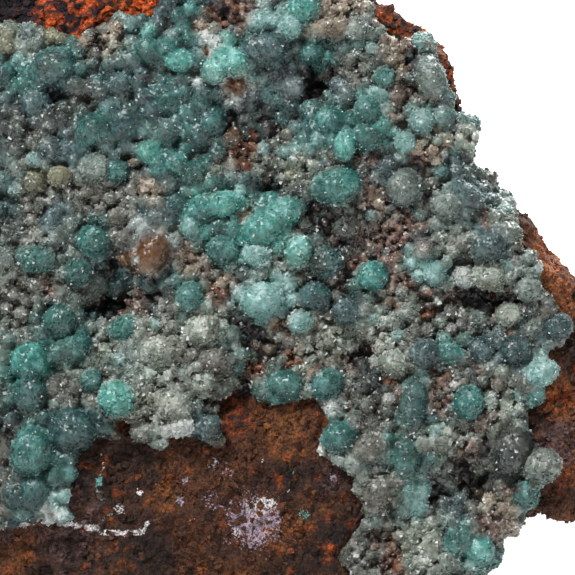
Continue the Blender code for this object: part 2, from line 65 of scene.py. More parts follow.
def linear(colour: Iterable[float]) -> Array:
    """Turn a colour as a screen shows it into amounts of light.

    Args:
        colour: red, green and blue from 0 to 255.

    Returns:
        The three amounts of light, from 0 to 1.
    """
    share = np.asarray(colour, dtype=float) / 255.0
    return np.where(share <= 0.04045, share / 12.92, ((share + 0.055) / 1.055) ** 2.4)


def unit(vectors: Array) -> Array:
    """Bring vectors to length one.

    Args:
        vectors: vectors in rows.

    Returns:
        The same directions at length one.
    """
    lengths = np.linalg.norm(vectors, axis=-1, keepdims=True)
    return vectors / np.maximum(lengths, 1e-12)


def noise_at(points: Array, size: float, shift: float = 0.0) -> Array:
    """Read smooth noise at points.

    Args:
        points: places in metres, in rows.
        size: size of the pattern's features in metres.
        shift: moves the pattern, so that two readings differ.

    Returns:
        One value from about -1 to 1 for each point.
    """
    value_at = noise.noise
    return np.array([value_at(Vector(point)) for point in points / size + shift])


@dataclass(frozen=True)
class Face:
    """The display face, as the photograph looks straight at it."""

    pixel: float = 0.12 * MM
    picture: float = 575.0
    lean: float = math.radians(20.0)
    middle: tuple[float, float, float] = (10.8 * MM, -9.0 * MM, 43.2 * MM)

    @property
    def axes(self) -> Array:
        """Return the directions across, up and out of the face, in rows."""
        sine = math.sin(self.lean)
        cosine = math.cos(self.lean)
        return np.array([[1.0, 0.0, 0.0], [0.0, sine, cosine], [0.0, -cosine, sine]])

    def points(self, pixels: Array, out: Array | float = 0.0) -> Array:
        """Return the places in metres of pixels, moved out towards the viewer.

        Args:
            pixels: pixels across and down, in rows.
            out: how far out of the face each place lies.

        Returns:
            Places in rows.
        """
        pixels = np.asarray(pixels, dtype=float).reshape(-1, 2)
        across = (pixels[:, 0] - self.picture / 2) * self.pixel
        up = (self.picture / 2 - pixels[:, 1]) * self.pixel
        parts = np.stack([across, up, np.broadcast_to(out, across.shape)], axis=1)
        return np.array(self.middle) + parts @ self.axes

    def places(self, points: Array) -> Array:
        """Return the parts across, up and out of the face of points in metres."""
        return (points - np.array(self.middle)) @ self.axes.T

    def pixels(self, points: Array) -> Array:
        """Return the pixels at which points in metres show."""
        parts = self.places(points)
        across = self.picture / 2 + parts[:, 0] / self.pixel
        down = self.picture / 2 - parts[:, 1] / self.pixel
        return np.stack([across, down], axis=1)


FACE = Face()


@dataclass(frozen=True)
class Habit:
    """How one kind of growth looks: its colours, its lumps and its crystals.

    Widths are in millimetres. The spacing is the room round a lump as a share of its half width,
    the stand is how far its middle stands out of the skin as a share of the same, the sink is how
    far the skin between the lumps lies back, the softness is how far they melt into each other,
    the cracks are how much of the last colour shows between them, and the cover is crystals per
    square millimetre. Of the four colours, the second is for frost together with painted highlight
    on the side that faces the key light, the third is for darker mottle together with painted
    shade on the side away from it and in creases, and the last is for the matrix in the cracks
    together with painted shade there.
    """

    main: Colour
    light: Colour
    deep: Colour
    bed_and_painted_shade: Colour
    small: float = 2.3
    large: float = 4.2
    spacing: float = 0.6
    stand: float = -0.15
    sink: float = 0.12
    softness: float = 0.2
    cracks: float = 0.15
    grain: float = 0.25
    cover: float = 6.0


class Growth(Enum):
    """The kinds of growth that the crust is made of."""

    TEAL = Habit((38, 88, 82), (94, 143, 139), (17, 50, 47), (26, 34, 28))
    DEEP = Habit((28, 64, 63), (78, 118, 116), (13, 36, 37), (18, 24, 22))
    JADE = Habit((32, 95, 87), (92, 158, 150), (15, 56, 52), (22, 36, 31))
    TURQUOISE = Habit((70, 142, 131), (148, 200, 194), (32, 90, 81), (28, 52, 46))
    ICE = Habit((108, 148, 143), (172, 198, 195), (62, 102, 98), (48, 56, 50), 1.8, 3.0, 0.64)
    SLATE = Habit((46, 70, 71), (106, 127, 129), (22, 39, 40), (28, 28, 25), 1.8, 3.2, 0.62)
    SMOKE = Habit((45, 52, 49), (98, 104, 98), (23, 28, 26), (22, 18, 15), 1.6, 2.8, 0.64,
                  -0.1, 0.22, 0.15, 0.6, 0.3, 5.5)
    LILAC = Habit((84, 98, 99), (138, 147, 150), (46, 57, 58), (36, 34, 34), 1.8, 3.0, 0.62)
    OLIVE = Habit((104, 106, 84), (162, 160, 134), (62, 60, 42), (48, 36, 24), 1.5, 2.6, 0.66)
    MIST = Habit((98, 112, 105), (160, 170, 163), (60, 70, 65), (44, 38, 32), 1.5, 2.8, 0.64,
                 -0.1, 0.16, 0.16, 0.3, 0.34, 5.5)
    SUGAR = Habit((120, 129, 117), (200, 206, 197), (68, 73, 60), (58, 38, 26), 1.2, 2.7, 0.7,
                  0.05, 0.42, 0.1, 0.8, 0.42, 5.0)
    GREYSUGAR = Habit((84, 87, 79), (152, 154, 146), (48, 46, 38), (46, 30, 21), 1.2, 2.5, 0.7,
                      0.0, 0.36, 0.11, 0.7, 0.4, 5.0)
    TAN = Habit((128, 116, 100), (186, 176, 158), (78, 64, 50), (54, 36, 24), 1.0, 2.0, 0.72,
                0.0, 0.4, 0.09, 0.8, 0.4, 5.0)
    FROST = Habit((178, 184, 180), (226, 230, 226), (126, 134, 130), (70, 58, 48), 1.2, 2.2, 0.68,
                  0.1, 0.3, 0.12, 0.4, 0.4, 5.5)
    RUST = Habit((96, 50, 26), (138, 92, 64), (52, 27, 14), (34, 18, 10), 0.8, 1.4, 0.85,
                 -0.2, 0.5, 0.08, 0.8, 0.42, 3.0)
    ROSE = Habit((94, 70, 60), (160, 132, 120), (54, 36, 28), (34, 22, 16), 0.7, 1.3, 0.8,
                 -0.1, 0.45, 0.07, 0.8, 0.36, 4.5)
    EARTH = Habit((82, 50, 20), (110, 74, 36), (42, 25, 11), (26, 16, 9), 1.0, 1.8, 0.6,
                  -0.3, 0.4, 0.1, 0.8, 0.3, 0.2)
    # Sunken cavities coloured near black: painted shadow where shade falls in them.
    HOLLOW = Habit((24, 17, 14), (50, 40, 34), (14, 9, 8), (10, 6, 5), 0.9, 1.5, 1.3,
                   -0.5, 0.9, 0.08, 1.0, 0.38, 1.2)


GROWTHS = list(Growth)
(TEAL, DEEP, JADE, TURQUOISE, ICE, SLATE, SMOKE, LILAC, OLIVE, MIST, SUGAR, GREYSUGAR, TAN, FROST,
 RUST, ROSE, EARTH, HOLLOW) = GROWTHS


@dataclass
class Mix:
    """How much of each growth there is at each of some points."""

    shares: Array

    def number(self, name: str) -> Array:
        """Return one of the growths' numbers, mixed for each point."""
        return self.shares @ np.array([getattr(growth.value, name) for growth in GROWTHS])

    def colour(self, name: str) -> Array:
        """Return one of the growths' colours as amounts of light, mixed for each point."""
        return self.shares @ np.array([linear(getattr(growth.value, name)) for growth in GROWTHS])

    @classmethod
    def of(cls, growths: Iterable[Growth]) -> "Mix":
        """Return pure growths, one for each point."""
        return cls(np.eye(len(GROWTHS))[[GROWTHS.index(growth) for growth in growths]])


class Patch(NamedTuple):
    """A round area of one growth, in pixels; a later patch lies over an earlier one."""

    across: float
    down: float
    radius: float
    growth: Growth


PATCHES = [Patch(*row) for row in (
    (120, 100, 190, SLATE), (-60, 300, 150, MIST), (60, 62, 36, TEAL), (30, 36, 24, MIST),
    (8, 45, 12, OLIVE), (55, 37, 11, OLIVE), (20, 80, 20, TEAL), (62, 92, 26, DEEP),
    (100, 42, 15, TAN), (88, 30, 9, TAN), (120, 62, 14, MIST), (146, 48, 22, TEAL),
    (180, 62, 26, TEAL), (195, 20, 18, TEAL), (120, 80, 18, DEEP), (165, 92, 24, SLATE),
    (172, 100, 14, TEAL), (95, 130, 26, TEAL), (60, 142, 22, SLATE), (20, 140, 24, GREYSUGAR),
    (10, 172, 18, ICE), (40, 182, 18, OLIVE), (64, 182, 13, OLIVE), (92, 170, 17, MIST),
    (118, 172, 14, SLATE), (35, 205, 26, GREYSUGAR), (78, 202, 22, GREYSUGAR), (8, 206, 16, SLATE),
    (60, 218, 18, SLATE), (112, 208, 24, GREYSUGAR), (150, 188, 14, TAN), (28, 236, 18, GREYSUGAR),
    (70, 238, 18, MIST), (96, 240, 18, TEAL), (165, 156, 22, TEAL), (200, 125, 26, TEAL),
    (212, 108, 20, DEEP), (190, 168, 26, TEAL), (215, 145, 14, DEEP), (236, 122, 18, DEEP),
    (252, 100, 20, SLATE), (272, 106, 24, DEEP), (276, 88, 18, LILAC), (292, 84, 16, LILAC),
    (225, 34, 20, MIST), (206, 30, 12, TAN), (240, 8, 22, ROSE), (225, 20, 12, RUST),
    (262, 48, 28, SLATE), (265, 25, 16, ICE), (228, 60, 24, TURQUOISE), (290, 30, 14, ICE),
    (211, 46, 13, FROST), (209, 51, 5, EARTH), (237, 86, 18, FROST), (235, 85, 10, EARTH),
    (340, 20, 30, TAN), (318, 50, 20, TEAL), (360, 38, 22, MIST), (345, 80, 22, GREYSUGAR),
    (308, 82, 16, HOLLOW), (318, 92, 13, HOLLOW), (340, 92, 14, LILAC), (372, 100, 16, ICE),
    (330, 128, 24, TEAL), (366, 130, 22, TEAL), (300, 150, 20, ICE), (310, 135, 14, TEAL),
    (240, 158, 15, RUST), (226, 165, 12, TAN), (264, 165, 14, GREYSUGAR), (222, 180, 16, MIST),
    (268, 186, 10, HOLLOW), (300, 172, 18, SUGAR), (205, 200, 30, JADE), (235, 205, 18, TURQUOISE),
    (395, 70, 20, GREYSUGAR), (432, 80, 28, SLATE), (405, 60, 12, RUST), (392, 52, 14, TAN),
    (415, 100, 18, GREYSUGAR), (420, 122, 14, ICE), (400, 145, 16, ICE), (432, 148, 20, TAN),
    (412, 158, 10, RUST), (464, 140, 18, SUGAR), (452, 162, 12, DEEP), (395, 180, 28, SLATE),
    (380, 200, 14, ROSE), (366, 196, 12, ROSE), (465, 196, 22, SLATE), (440, 210, 22, MIST),
    (430, 180, 16, GREYSUGAR), (490, 200, 12, SLATE), (500, 215, 14, MIST), (390, 240, 18, ROSE),
    (412, 225, 14, ROSE), (360, 238, 12, ROSE), (345, 212, 16, GREYSUGAR), (325, 222, 14, HOLLOW),
    (170, 240, 14, MIST), (142, 252, 24, FROST), (153, 254, 15, EARTH), (130, 256, 8, EARTH),
    (190, 262, 14, TAN), (190, 246, 10, RUST), (112, 282, 20, DEEP), (120, 272, 14, DEEP),
    (108, 306, 14, HOLLOW), (88, 312, 10, HOLLOW), (135, 300, 14, TAN), (150, 305, 12, GREYSUGAR),
    (30, 300, 34, GREYSUGAR), (50, 285, 10, ROSE), (190, 292, 18, TEAL), (222, 290, 18, RUST),
    (222, 272, 14, TAN), (222, 250, 18, TEAL), (262, 236, 30, TURQUOISE),
    (285, 212, 18, TURQUOISE), (245, 215, 12, TAN), (275, 262, 14, SUGAR), (262, 298, 26, ICE),
    (284, 292, 16, ICE), (315, 295, 16, SLATE), (282, 330, 16, RUST), (240, 320, 12, HOLLOW),
    (252, 338, 12, HOLLOW), (268, 345, 16, HOLLOW), (292, 358, 12, RUST), (363, 360, 13, HOLLOW),
    (346, 342, 12, SUGAR), (255, 372, 14, RUST), (244, 392, 10, HOLLOW), (212, 398, 10, HOLLOW),
    (205, 425, 16, SLATE), (180, 340, 44, SUGAR), (150, 385, 40, SUGAR), (205, 370, 30, GREYSUGAR),
    (130, 355, 24, MIST), (180, 428, 12, FROST), (95, 350, 16, SUGAR), (60, 330, 26, TEAL),
    (72, 350, 20, TEAL), (30, 372, 32, JADE), (60, 385, 16, GREYSUGAR), (92, 382, 12, MIST),
    (75, 428, 30, DEEP), (32, 450, 30, TEAL), (30, 485, 22, DEEP), (8, 440, 16, MIST),
    (60, 470, 16, TEAL), (102, 426, 14, DEEP), (60, 503, 18, ICE), (48, 512, 14, FROST),
    (20, 508, 16, DEEP), (-20, 512, 16, ICE), (285, 385, 18, TEAL), (326, 385, 18, TEAL),
    (305, 398, 10, SUGAR), (332, 405, 11, FROST), (342, 434, 18, TEAL), (318, 450, 10, FROST),
    (350, 465, 20, MIST), (372, 398, 20, GREYSUGAR), (368, 425, 18, GREYSUGAR),
    (412, 405, 18, DEEP), (406, 456, 18, TEAL), (382, 488, 26, GREYSUGAR), (416, 506, 14, ICE),
    (440, 405, 12, ROSE), (468, 402, 18, TEAL), (438, 440, 18, SUGAR), (470, 478, 13, HOLLOW),
    (482, 498, 12, HOLLOW), (434, 492, 12, HOLLOW), (512, 452, 26, SLATE),
    (492, 474, 14, GREYSUGAR), (540, 466, 16, GREYSUGAR), (450, 520, 22, SLATE),
    (492, 520, 24, GREYSUGAR), (415, 545, 34, SUGAR), (385, 535, 14, ROSE), (392, 562, 12, RUST),
    (455, 548, 18, TEAL), (480, 552, 18, TEAL), (500, 535, 10, ROSE), (345, 565, 14, GREYSUGAR),
    (485, 247, 24, SLATE), (455, 250, 18, SUGAR), (490, 275, 22, SUGAR), (530, 270, 18, MIST),
    (525, 240, 14, GREYSUGAR), (462, 262, 10, HOLLOW), (482, 300, 18, HOLLOW),
    (505, 302, 12, HOLLOW), (545, 310, 14, GREYSUGAR), (558, 326, 14, SLATE), (420, 270, 20, ICE),
    (405, 285, 12, RUST), (400, 305, 18, MIST), (430, 305, 12, HOLLOW), (372, 276, 18, TEAL),
    (345, 312, 15, SLATE), (325, 320, 14, SUGAR), (310, 345, 20, SUGAR), (425, 356, 16, SLATE),
    (450, 353, 13, TURQUOISE), (440, 372, 12, ROSE), (515, 350, 18, SLATE), (482, 350, 14, SLATE),
    (540, 372, 18, ICE), (505, 400, 20, SUGAR), (500, 425, 16, SUGAR), (395, 360, 20, SUGAR),
    (455, 330, 18, GREYSUGAR), (348, 180, 8, TEAL), (385, 330, 16, SUGAR), (4, 446, 16, SMOKE),
    (10, 414, 15, SMOKE), (8, 392, 9, GREYSUGAR), (150, 302, 13, ROSE), (166, 308, 12, GREYSUGAR),
    (304, 196, 14, SMOKE), (312, 212, 10, HOLLOW), (55, 102, 9, HOLLOW), (62, 118, 14, SMOKE),
    (262, 124, 20, SMOKE), (232, 128, 14, SMOKE), (516, 306, 14, ROSE), (512, 452, 24, SMOKE),
    (486, 448, 14, GREYSUGAR), (470, 452, 9, ROSE), (100, 40, 8, HOLLOW), (18, 126, 18, SMOKE),
    (50, 130, 14, SMOKE), (378, 380, 22, SMOKE), (378, 412, 15, SMOKE), (356, 262, 14, ROSE),
    (344, 248, 10, SMOKE), (10, 232, 16, SMOKE), (88, 96, 16, SMOKE), (92, 108, 6, HOLLOW),
    (520, 380, 13, GREYSUGAR), (136, 272, 10, SMOKE), (236, 20, 14, ROSE), (214, 14, 8, RUST),
    (110, 262, 9, HOLLOW), (205, 132, 12, DEEP), (129, 160, 5, HOLLOW), (141, 169, 5, HOLLOW),
    (4, 440, 12, HOLLOW), (53, 92, 7, HOLLOW), (55, 108, 7, HOLLOW), (112, 26, 12, TAN),
    (128, 9, 9, ICE), (114, 46, 11, TAN), (252, 134, 7, RUST), (249, 150, 9, RUST),
    (146, 14, 9, SMOKE), (122, 430, 8, RUST), (262, 44, 18, TEAL), (102, 176, 6, GREYSUGAR),
    (70, 400, 8, GREYSUGAR), (470, 298, 12, HOLLOW), (500, 301, 12, HOLLOW), (523, 304, 9, HOLLOW),
    (487, 446, 7, HOLLOW), (466, 462, 8, HOLLOW), (476, 487, 8, HOLLOW), (516, 488, 7, HOLLOW),
    (413, 56, 8, HOLLOW), (404, 94, 13, SMOKE), (412, 92, 6, HOLLOW), (398, 101, 7, ROSE),
    (402, 123, 6, HOLLOW), (422, 166, 10, HOLLOW), (424, 158, 6, RUST), (420, 203, 12, SMOKE),
    (500, 519, 19, TAN), (521, 340, 15, SMOKE), (508, 330, 7, ROSE), (298, 200, 15, SMOKE),
    (312, 211, 10, HOLLOW), (161, 300, 13, SMOKE), (124, 236, 12, GREYSUGAR),
    (414, 340, 13, GREYSUGAR), (200, 237, 13, ICE), (268, 128, 13, DEEP), (262, 119, 7, HOLLOW),
    (305, 122, 13, SLATE), (125, 91, 14, DEEP), (160, 88, 15, DEEP), (125, 125, 14, DEEP),
    (90, 56, 12, GREYSUGAR), (101, 45, 6, HOLLOW), (500, 244, 12, SLATE), (482, 216, 8, ROSE),
    (430, 494, 8, HOLLOW), (396, 303, 7, EARTH), (391, 382, 5, RUST), (428, 312, 8, RUST),
    (5, 444, 17, HOLLOW), (52, 420, 14, DEEP), (161, 341, 13, GREYSUGAR), (484, 524, 12, ROSE),
    (14, 164, 14, MIST), (517, 376, 13, SMOKE), (152, 297, 7, HOLLOW), (377, 20, 9, RUST),
    (378, 54, 8, SMOKE), (234, 14, 10, RUST), (238, 160, 8, EARTH), (379, 197, 9, TAN),
    (119, 304, 8, HOLLOW), (273, 131, 7, HOLLOW), (520, 308, 15, SMOKE), (523, 300, 8, HOLLOW),
    (414, 484, 12, ICE), (306, 374, 12, SUGAR), (446, 560, 15, SUGAR), (90, 157, 11, SLATE),
    (14, 236, 13, SMOKE), (306, 128, 8, DEEP), (520, 446, 9, HOLLOW), (345, 330, 9, SUGAR),
    (199, 234, 12, TURQUOISE), (464, 560, 10, ICE), (6, 447, 20, HOLLOW), (226, 13, 9, HOLLOW),
    (244, 20, 8, RUST), (272, 92, 10, ICE), (378, 54, 13, SMOKE), (277, 336, 9, SUGAR),
    (258, 346, 7, TAN), (197, 378, 14, SUGAR), (490, 526, 13, ROSE), (230, 122, 10, HOLLOW),
    (487, 480, 9, HOLLOW), (127, 300, 8, HOLLOW), (14, 412, 13, DEEP), (198, 198, 12, TURQUOISE),
    (353, 201, 8, DEEP), (376, 128, 9, TURQUOISE), (226, 160, 6, HOLLOW), (347, 272, 6, HOLLOW),
    (520, 444, 12, HOLLOW),
)]


class Ball(NamedTuple):
    """A ball or ridge of the crust.

    It has its pixel, its length and width in millimetres, its turn in degrees anticlockwise, how
    far its middle stands out of the crust as a share of half its width, and its growth.
    """

    across: float
    down: float
    length: float
    width: float
    turn: float
    stand: float
    growth: Growth


BALLS = [Ball(*row) for row in (
    (55, 68, 5.6, 4.4, 20, 0.1, DEEP), (36, 104, 3.8, 3.4, 0, 0.1, SLATE),
    (95, 130, 4.4, 3.6, 30, 0.1, TEAL), (148, 52, 3.0, 2.8, 0, 0.3, TEAL),
    (180, 62, 3.2, 2.6, 0, 0.2, TURQUOISE), (120, 85, 2.8, 2.6, 0, 0.2, SLATE),
    (150, 153, 3.0, 2.6, 0, 0.2, TURQUOISE), (95, 168, 3.4, 3.2, 0, 0.3, MIST),
    (118, 171, 2.8, 2.6, 0, 0.2, TEAL), (61, 177, 2.6, 2.4, 0, 0.3, OLIVE),
    (36, 182, 2.6, 2.4, 0, 0.2, OLIVE), (192, 174, 3.2, 2.8, 0, 0.2, TEAL),
    (302, 10, 4.2, 3.4, 30, 0.3, TURQUOISE), (289, 28, 2.8, 2.8, 0, 0.4, ICE),
    (262, 50, 5.6, 3.6, 10, 0.1, SLATE), (230, 62, 4.4, 3.2, -30, 0.4, TURQUOISE),
    (238, 86, 2.3, 2.1, 0, 0.0, EARTH), (290, 86, 3.6, 3.4, 0, 0.1, LILAC),
    (310, 52, 3.0, 2.8, 0, 0.3, TEAL), (330, 122, 3.4, 3.2, 0, 0.4, TEAL),
    (367, 112, 3.0, 3.4, 0, 0.4, TEAL), (366, 138, 3.4, 3.2, 0, 0.4, TEAL),
    (345, 147, 3.4, 2.4, 90, 0.9, TURQUOISE), (336, 186, 5.6, 4.2, 15, 0.5, JADE),
    (404, 188, 4.2, 4.0, 70, 0.5, MIST), (421, 122, 2.8, 2.8, 0, 0.4, ICE),
    (430, 80, 5.6, 3.6, 110, 0.2, MIST), (423, 44, 2.8, 2.6, 0, 0.4, ICE),
    (384, 78, 2.4, 2.4, 0, 0.3, TEAL), (404, 143, 2.4, 2.4, 0, 0.3, ICE),
    (467, 138, 3.2, 2.8, 100, 0.4, SUGAR), (466, 197, 4.6, 3.0, -35, 0.4, SLATE),
    (447, 206, 3.4, 3.2, 0, 0.4, MIST), (482, 178, 2.4, 2.4, 0, 0.4, GREYSUGAR),
    (152, 254, 5.4, 3.8, 60, 0.6, EARTH), (128, 258, 2.4, 2.2, 0, 0.2, EARTH),
    (200, 210, 5.6, 2.8, 25, 0.3, JADE), (222, 204, 4.4, 2.8, 10, 0.3, TURQUOISE),
    (191, 228, 2.4, 2.4, 0, 0.8, ICE), (94, 240, 4.0, 3.6, 20, 0.2, TEAL),
    (36, 260, 5.2, 3.0, -8, 0.4, TEAL), (78, 272, 3.4, 3.2, 0, 0.4, TEAL),
    (116, 282, 5.0, 4.4, 0, -0.3, DEEP), (60, 321, 3.8, 3.6, 100, 0.4, TEAL),
    (72, 348, 4.6, 3.0, 20, 0.4, TEAL), (125, 328, 4.0, 2.8, 25, 0.5, JADE),
    (31, 362, 4.4, 4.2, 80, 0.4, JADE), (31, 392, 4.2, 3.8, 80, 0.3, DEEP),
    (117, 398, 4.1, 4.1, 0, 0.8, TURQUOISE), (92, 380, 2.6, 2.6, 0, 0.2, TEAL),
    (72, 430, 5.4, 5.0, 0, 0.2, DEEP), (33, 450, 5.6, 4.6, 70, 0.5, TEAL),
    (35, 490, 4.4, 3.4, 70, 0.2, DEEP), (190, 297, 3.8, 3.0, 80, 0.2, TEAL),
    (222, 250, 3.6, 3.4, 0, 0.3, TEAL), (262, 228, 4.6, 3.6, 20, 0.4, TURQUOISE),
    (284, 212, 4.4, 3.2, 20, 0.3, TURQUOISE), (258, 254, 3.4, 3.0, 0, 0.3, ICE),
    (298, 252, 4.0, 3.0, 70, 0.5, TURQUOISE), (325, 262, 4.2, 4.0, 0, 0.2, DEEP),
    (346, 228, 3.2, 2.8, 0, 0.1, SMOKE), (262, 300, 5.0, 3.8, 15, 0.5, ICE),
    (315, 296, 3.6, 3.2, 0, 0.2, DEEP), (345, 312, 3.2, 3.0, 0, 0.2, SLATE),
    (372, 276, 3.4, 3.2, 0, 0.5, JADE), (487, 247, 4.4, 3.2, 15, 0.2, SLATE),
    (489, 276, 3.8, 3.2, 0, 0.4, SUGAR), (463, 277, 2.4, 2.4, 0, 0.4, FROST),
    (508, 315, 3.0, 2.8, 0, 0.4, SUGAR), (528, 290, 3.0, 2.8, 0, 0.3, MIST),
    (558, 326, 3.4, 3.0, 0, 0.2, SLATE), (424, 354, 3.6, 3.4, 0, 0.3, SLATE),
    (448, 353, 3.6, 2.2, 0, 0.4, TEAL), (515, 350, 3.4, 3.2, 0, 0.4, SLATE),
    (480, 350, 2.8, 2.8, 0, 0.2, SLATE), (394, 365, 3.4, 3.2, 0, 0.2, SUGAR),
    (540, 372, 4.2, 3.0, 20, 0.3, ICE), (286, 384, 4.0, 3.0, 0, 0.3, TEAL),
    (327, 385, 3.8, 3.2, 60, 0.3, TEAL), (340, 436, 4.2, 3.4, 10, 0.2, TEAL),
    (412, 408, 6.0, 3.0, 80, 0.3, DEEP), (405, 458, 4.6, 2.8, 90, 0.3, TEAL),
    (417, 506, 3.0, 2.4, 90, 0.3, ICE), (468, 402, 3.8, 3.4, 80, 0.5, TEAL),
    (512, 452, 6.0, 4.4, 70, 0.2, SMOKE), (541, 466, 4.4, 3.8, 20, 0.4, MIST),
    (457, 542, 3.6, 2.8, 60, 0.3, TEAL), (478, 550, 3.8, 3.2, 0, 0.4, TURQUOISE),
    (370, 448, 4.6, 3.4, 20, 0.1, GREYSUGAR), (380, 490, 4.4, 3.2, 30, 0.2, GREYSUGAR),
    (300, 322, 3.0, 2.6, 0, 0.3, ICE), (160, 352, 4.2, 3.4, 0, 0.2, SUGAR),
    (200, 330, 4.0, 3.2, 20, 0.2, SUGAR), (175, 405, 4.4, 3.4, -20, 0.3, SUGAR),
    (182, 425, 2.8, 2.4, 0, 0.4, FROST), (212, 360, 3.6, 2.8, 0, 0.2, GREYSUGAR),
    (210, 428, 3.0, 2.6, 90, 0.1, SLATE), (330, 28, 4.4, 2.2, 10, 0.3, TAN),
    (356, 30, 3.0, 2.8, 0, 0.2, MIST),
)]


class Knob(NamedTuple):
    """A small ball on the crust's skin, in pixels, with its radius and its growth."""

    across: float
    down: float
    radius: float
    growth: Growth


KNOBS = [Knob(*row) for row in (
    (30, 33, 10, SLATE), (52, 38, 9, OLIVE), (80, 55, 8, TEAL), (20, 60, 9, ICE),
    (10, 70, 8, TEAL), (62, 82, 10, DEEP), (27, 95, 9, TEAL), (120, 18, 9, ICE),
    (92, 30, 7, FROST), (150, 33, 10, TURQUOISE), (172, 38, 9, ICE), (160, 76, 7, TEAL),
    (142, 74, 8, SLATE), (127, 72, 8, DEEP), (157, 93, 9, TEAL), (182, 95, 12, TEAL),
    (185, 112, 9, TEAL), (100, 82, 7, DEEP), (122, 97, 9, SLATE), (190, 8, 10, TURQUOISE),
    (160, 24, 8, SLATE), (185, 150, 10, TEAL), (195, 190, 10, TURQUOISE), (35, 160, 9, ICE),
    (10, 175, 9, SLATE), (135, 163, 6, TAN), (152, 185, 7, TAN), (125, 147, 9, SLATE),
    (187, 192, 8, ICE), (250, 42, 9, TEAL), (285, 52, 9, SLATE), (327, 55, 7, TURQUOISE),
    (341, 52, 8, SLATE), (358, 43, 7, ICE), (371, 48, 8, ICE), (366, 20, 8, MIST),
    (334, 12, 7, TAN), (275, 84, 8, LILAC), (262, 78, 8, ICE), (340, 86, 11, SLATE),
    (215, 95, 9, DEEP), (277, 100, 10, TEAL), (243, 118, 5, FROST), (361, 95, 8, TEAL),
    (382, 146, 9, TEAL), (297, 150, 9, ICE), (319, 140, 9, ICE), (287, 135, 7, TAN),
    (263, 150, 9, ICE), (206, 164, 10, TEAL), (230, 180, 9, SLATE), (265, 176, 7, TAN),
    (291, 174, 8, OLIVE), (395, 50, 7, TAN), (401, 72, 8, OLIVE), (391, 119, 7, TAN),
    (401, 158, 8, ICE), (442, 154, 6, FROST), (455, 160, 8, SLATE), (440, 171, 9, ICE),
    (450, 190, 9, ICE), (490, 203, 10, SLATE), (505, 213, 8, ICE), (441, 237, 9, SUGAR),
    (453, 250, 9, SUGAR), (420, 214, 9, ICE), (417, 234, 9, SLATE), (411, 262, 8, ICE),
    (418, 276, 8, ICE), (506, 264, 9, ICE), (537, 268, 7, FROST), (466, 272, 7, FROST),
    (548, 300, 9, LILAC), (485, 311, 7, MIST), (521, 321, 9, SLATE), (370, 215, 7, ICE),
    (279, 265, 7, FROST), (289, 276, 8, ICE), (291, 300, 9, ICE), (178, 265, 9, SLATE),
    (156, 325, 8, ICE), (184, 318, 9, TEAL), (410, 385, 9, TEAL), (388, 400, 8, FROST),
    (435, 430, 9, ICE), (505, 405, 8, SUGAR), (520, 395, 8, ICE), (518, 425, 8, SUGAR),
    (455, 385, 6, FROST), (480, 470, 8, SUGAR), (461, 500, 9, SLATE), (332, 405, 8, FROST),
    (320, 450, 6, FROST), (300, 400, 6, FROST), (345, 48, 8, TEAL), (215, 30, 8, MIST),
    (245, 215, 6, TAN), (240, 190, 8, ICE), (350, 330, 8, SUGAR), (372, 318, 8, ICE),
    (398, 335, 8, ICE), (414, 320, 7, SUGAR), (438, 300, 7, SUGAR), (440, 322, 8, MIST),
    (470, 332, 7, SUGAR), (222, 325, 8, SUGAR), (235, 345, 7, SUGAR), (140, 368, 8, SUGAR),
    (120, 360, 8, ICE), (152, 396, 8, SUGAR), (158, 420, 7, SUGAR), (195, 385, 8, SUGAR),
    (182, 372, 8, MIST), (8, 340, 10, TEAL), (12, 420, 9, SMOKE), (55, 405, 8, MIST),
    (105, 350, 8, SUGAR), (32, 409, 13, DEEP), (106, 428, 9, DEEP), (94, 428, 9, SLATE),
    (537, 463, 8, EARTH), (468, 122, 6, FROST), (474, 134, 6, FROST), (476, 148, 7, ICE),
    (458, 128, 6, FROST), (483, 168, 6, MIST), (487, 186, 7, SLATE), (209, 51, 5, EARTH),
    (198, 83, 6, FROST), (550, 448, 6, FROST), (524, 470, 6, FROST), (550, 478, 6, FROST),
)]


class FarKind(NamedTuple):
    """How strongly a growth settles where no patch reaches, by broad and by fine noise."""

    growth: Growth
    broad: float
    fine: float
    base: float


FAR_KINDS = [FarKind(*row) for row in (
    (SUGAR, 0.0, 0.0, 0.0), (MIST, 1.2, 0.6, 0.0), (TEAL, 2.6, 0.0, -0.35),
    (SLATE, 0.0, 2.0, -0.45), (GREYSUGAR, -1.6, 0.0, 0.0), (ROSE, 0.0, -2.4, -0.5),
)]


@dataclass
class ZoneMap:
    """Tells which growths cover each place of the crust."""

    ragged: float = 0.3
    ragged_size: float = 2.0 * MM
    soft: float = 0.5
    far_size: float = 9.0 * MM
    far_fine_size: float = 0.35 * far_size
    far_sharpness: float = 9.0
    never: float = -9.0

    def mix(self, points: Array) -> Mix:
        """Return the mix of growths at points of the crust, in rows."""
        pixels = FACE.pixels(points)
        shares = self.far_mix(points)
        ragged = 1.0 + self.ragged * noise_at(points, self.ragged_size, 5.0)
        for patch in PATCHES:
            far = np.hypot(pixels[:, 0] - patch.across, pixels[:, 1] - patch.down)
            cover = np.clip((1.0 - far * ragged / patch.radius) / self.soft + 0.5, 0.0, 1.0)
            inside = cover > 0.0
            cover = cover[inside, None]
            shares[inside] *= 1.0 - cover
            shares[inside, GROWTHS.index(patch.growth)] += cover[:, 0]
        return Mix(shares)

    def far_mix(self, points: Array) -> Array:
        """Return the mix where no patch reaches, a loose one of the kinds that the crust has.

        Args:
            points: places on the crust, in rows.

        Returns:
            The share of each growth, one row for each point.
        """
        broad = noise_at(points, self.far_size, 2.0)
        fine = noise_at(points, self.far_fine_size, 8.0)
        pull = np.full((len(points), len(GROWTHS)), self.never)
        for kind in FAR_KINDS:
            settled = kind.broad * broad + kind.fine * fine + kind.base
            pull[:, GROWTHS.index(kind.growth)] = settled
        shares = np.exp(self.far_sharpness * (pull - pull.max(axis=1, keepdims=True)))
        return shares / shares.sum(axis=1, keepdims=True)


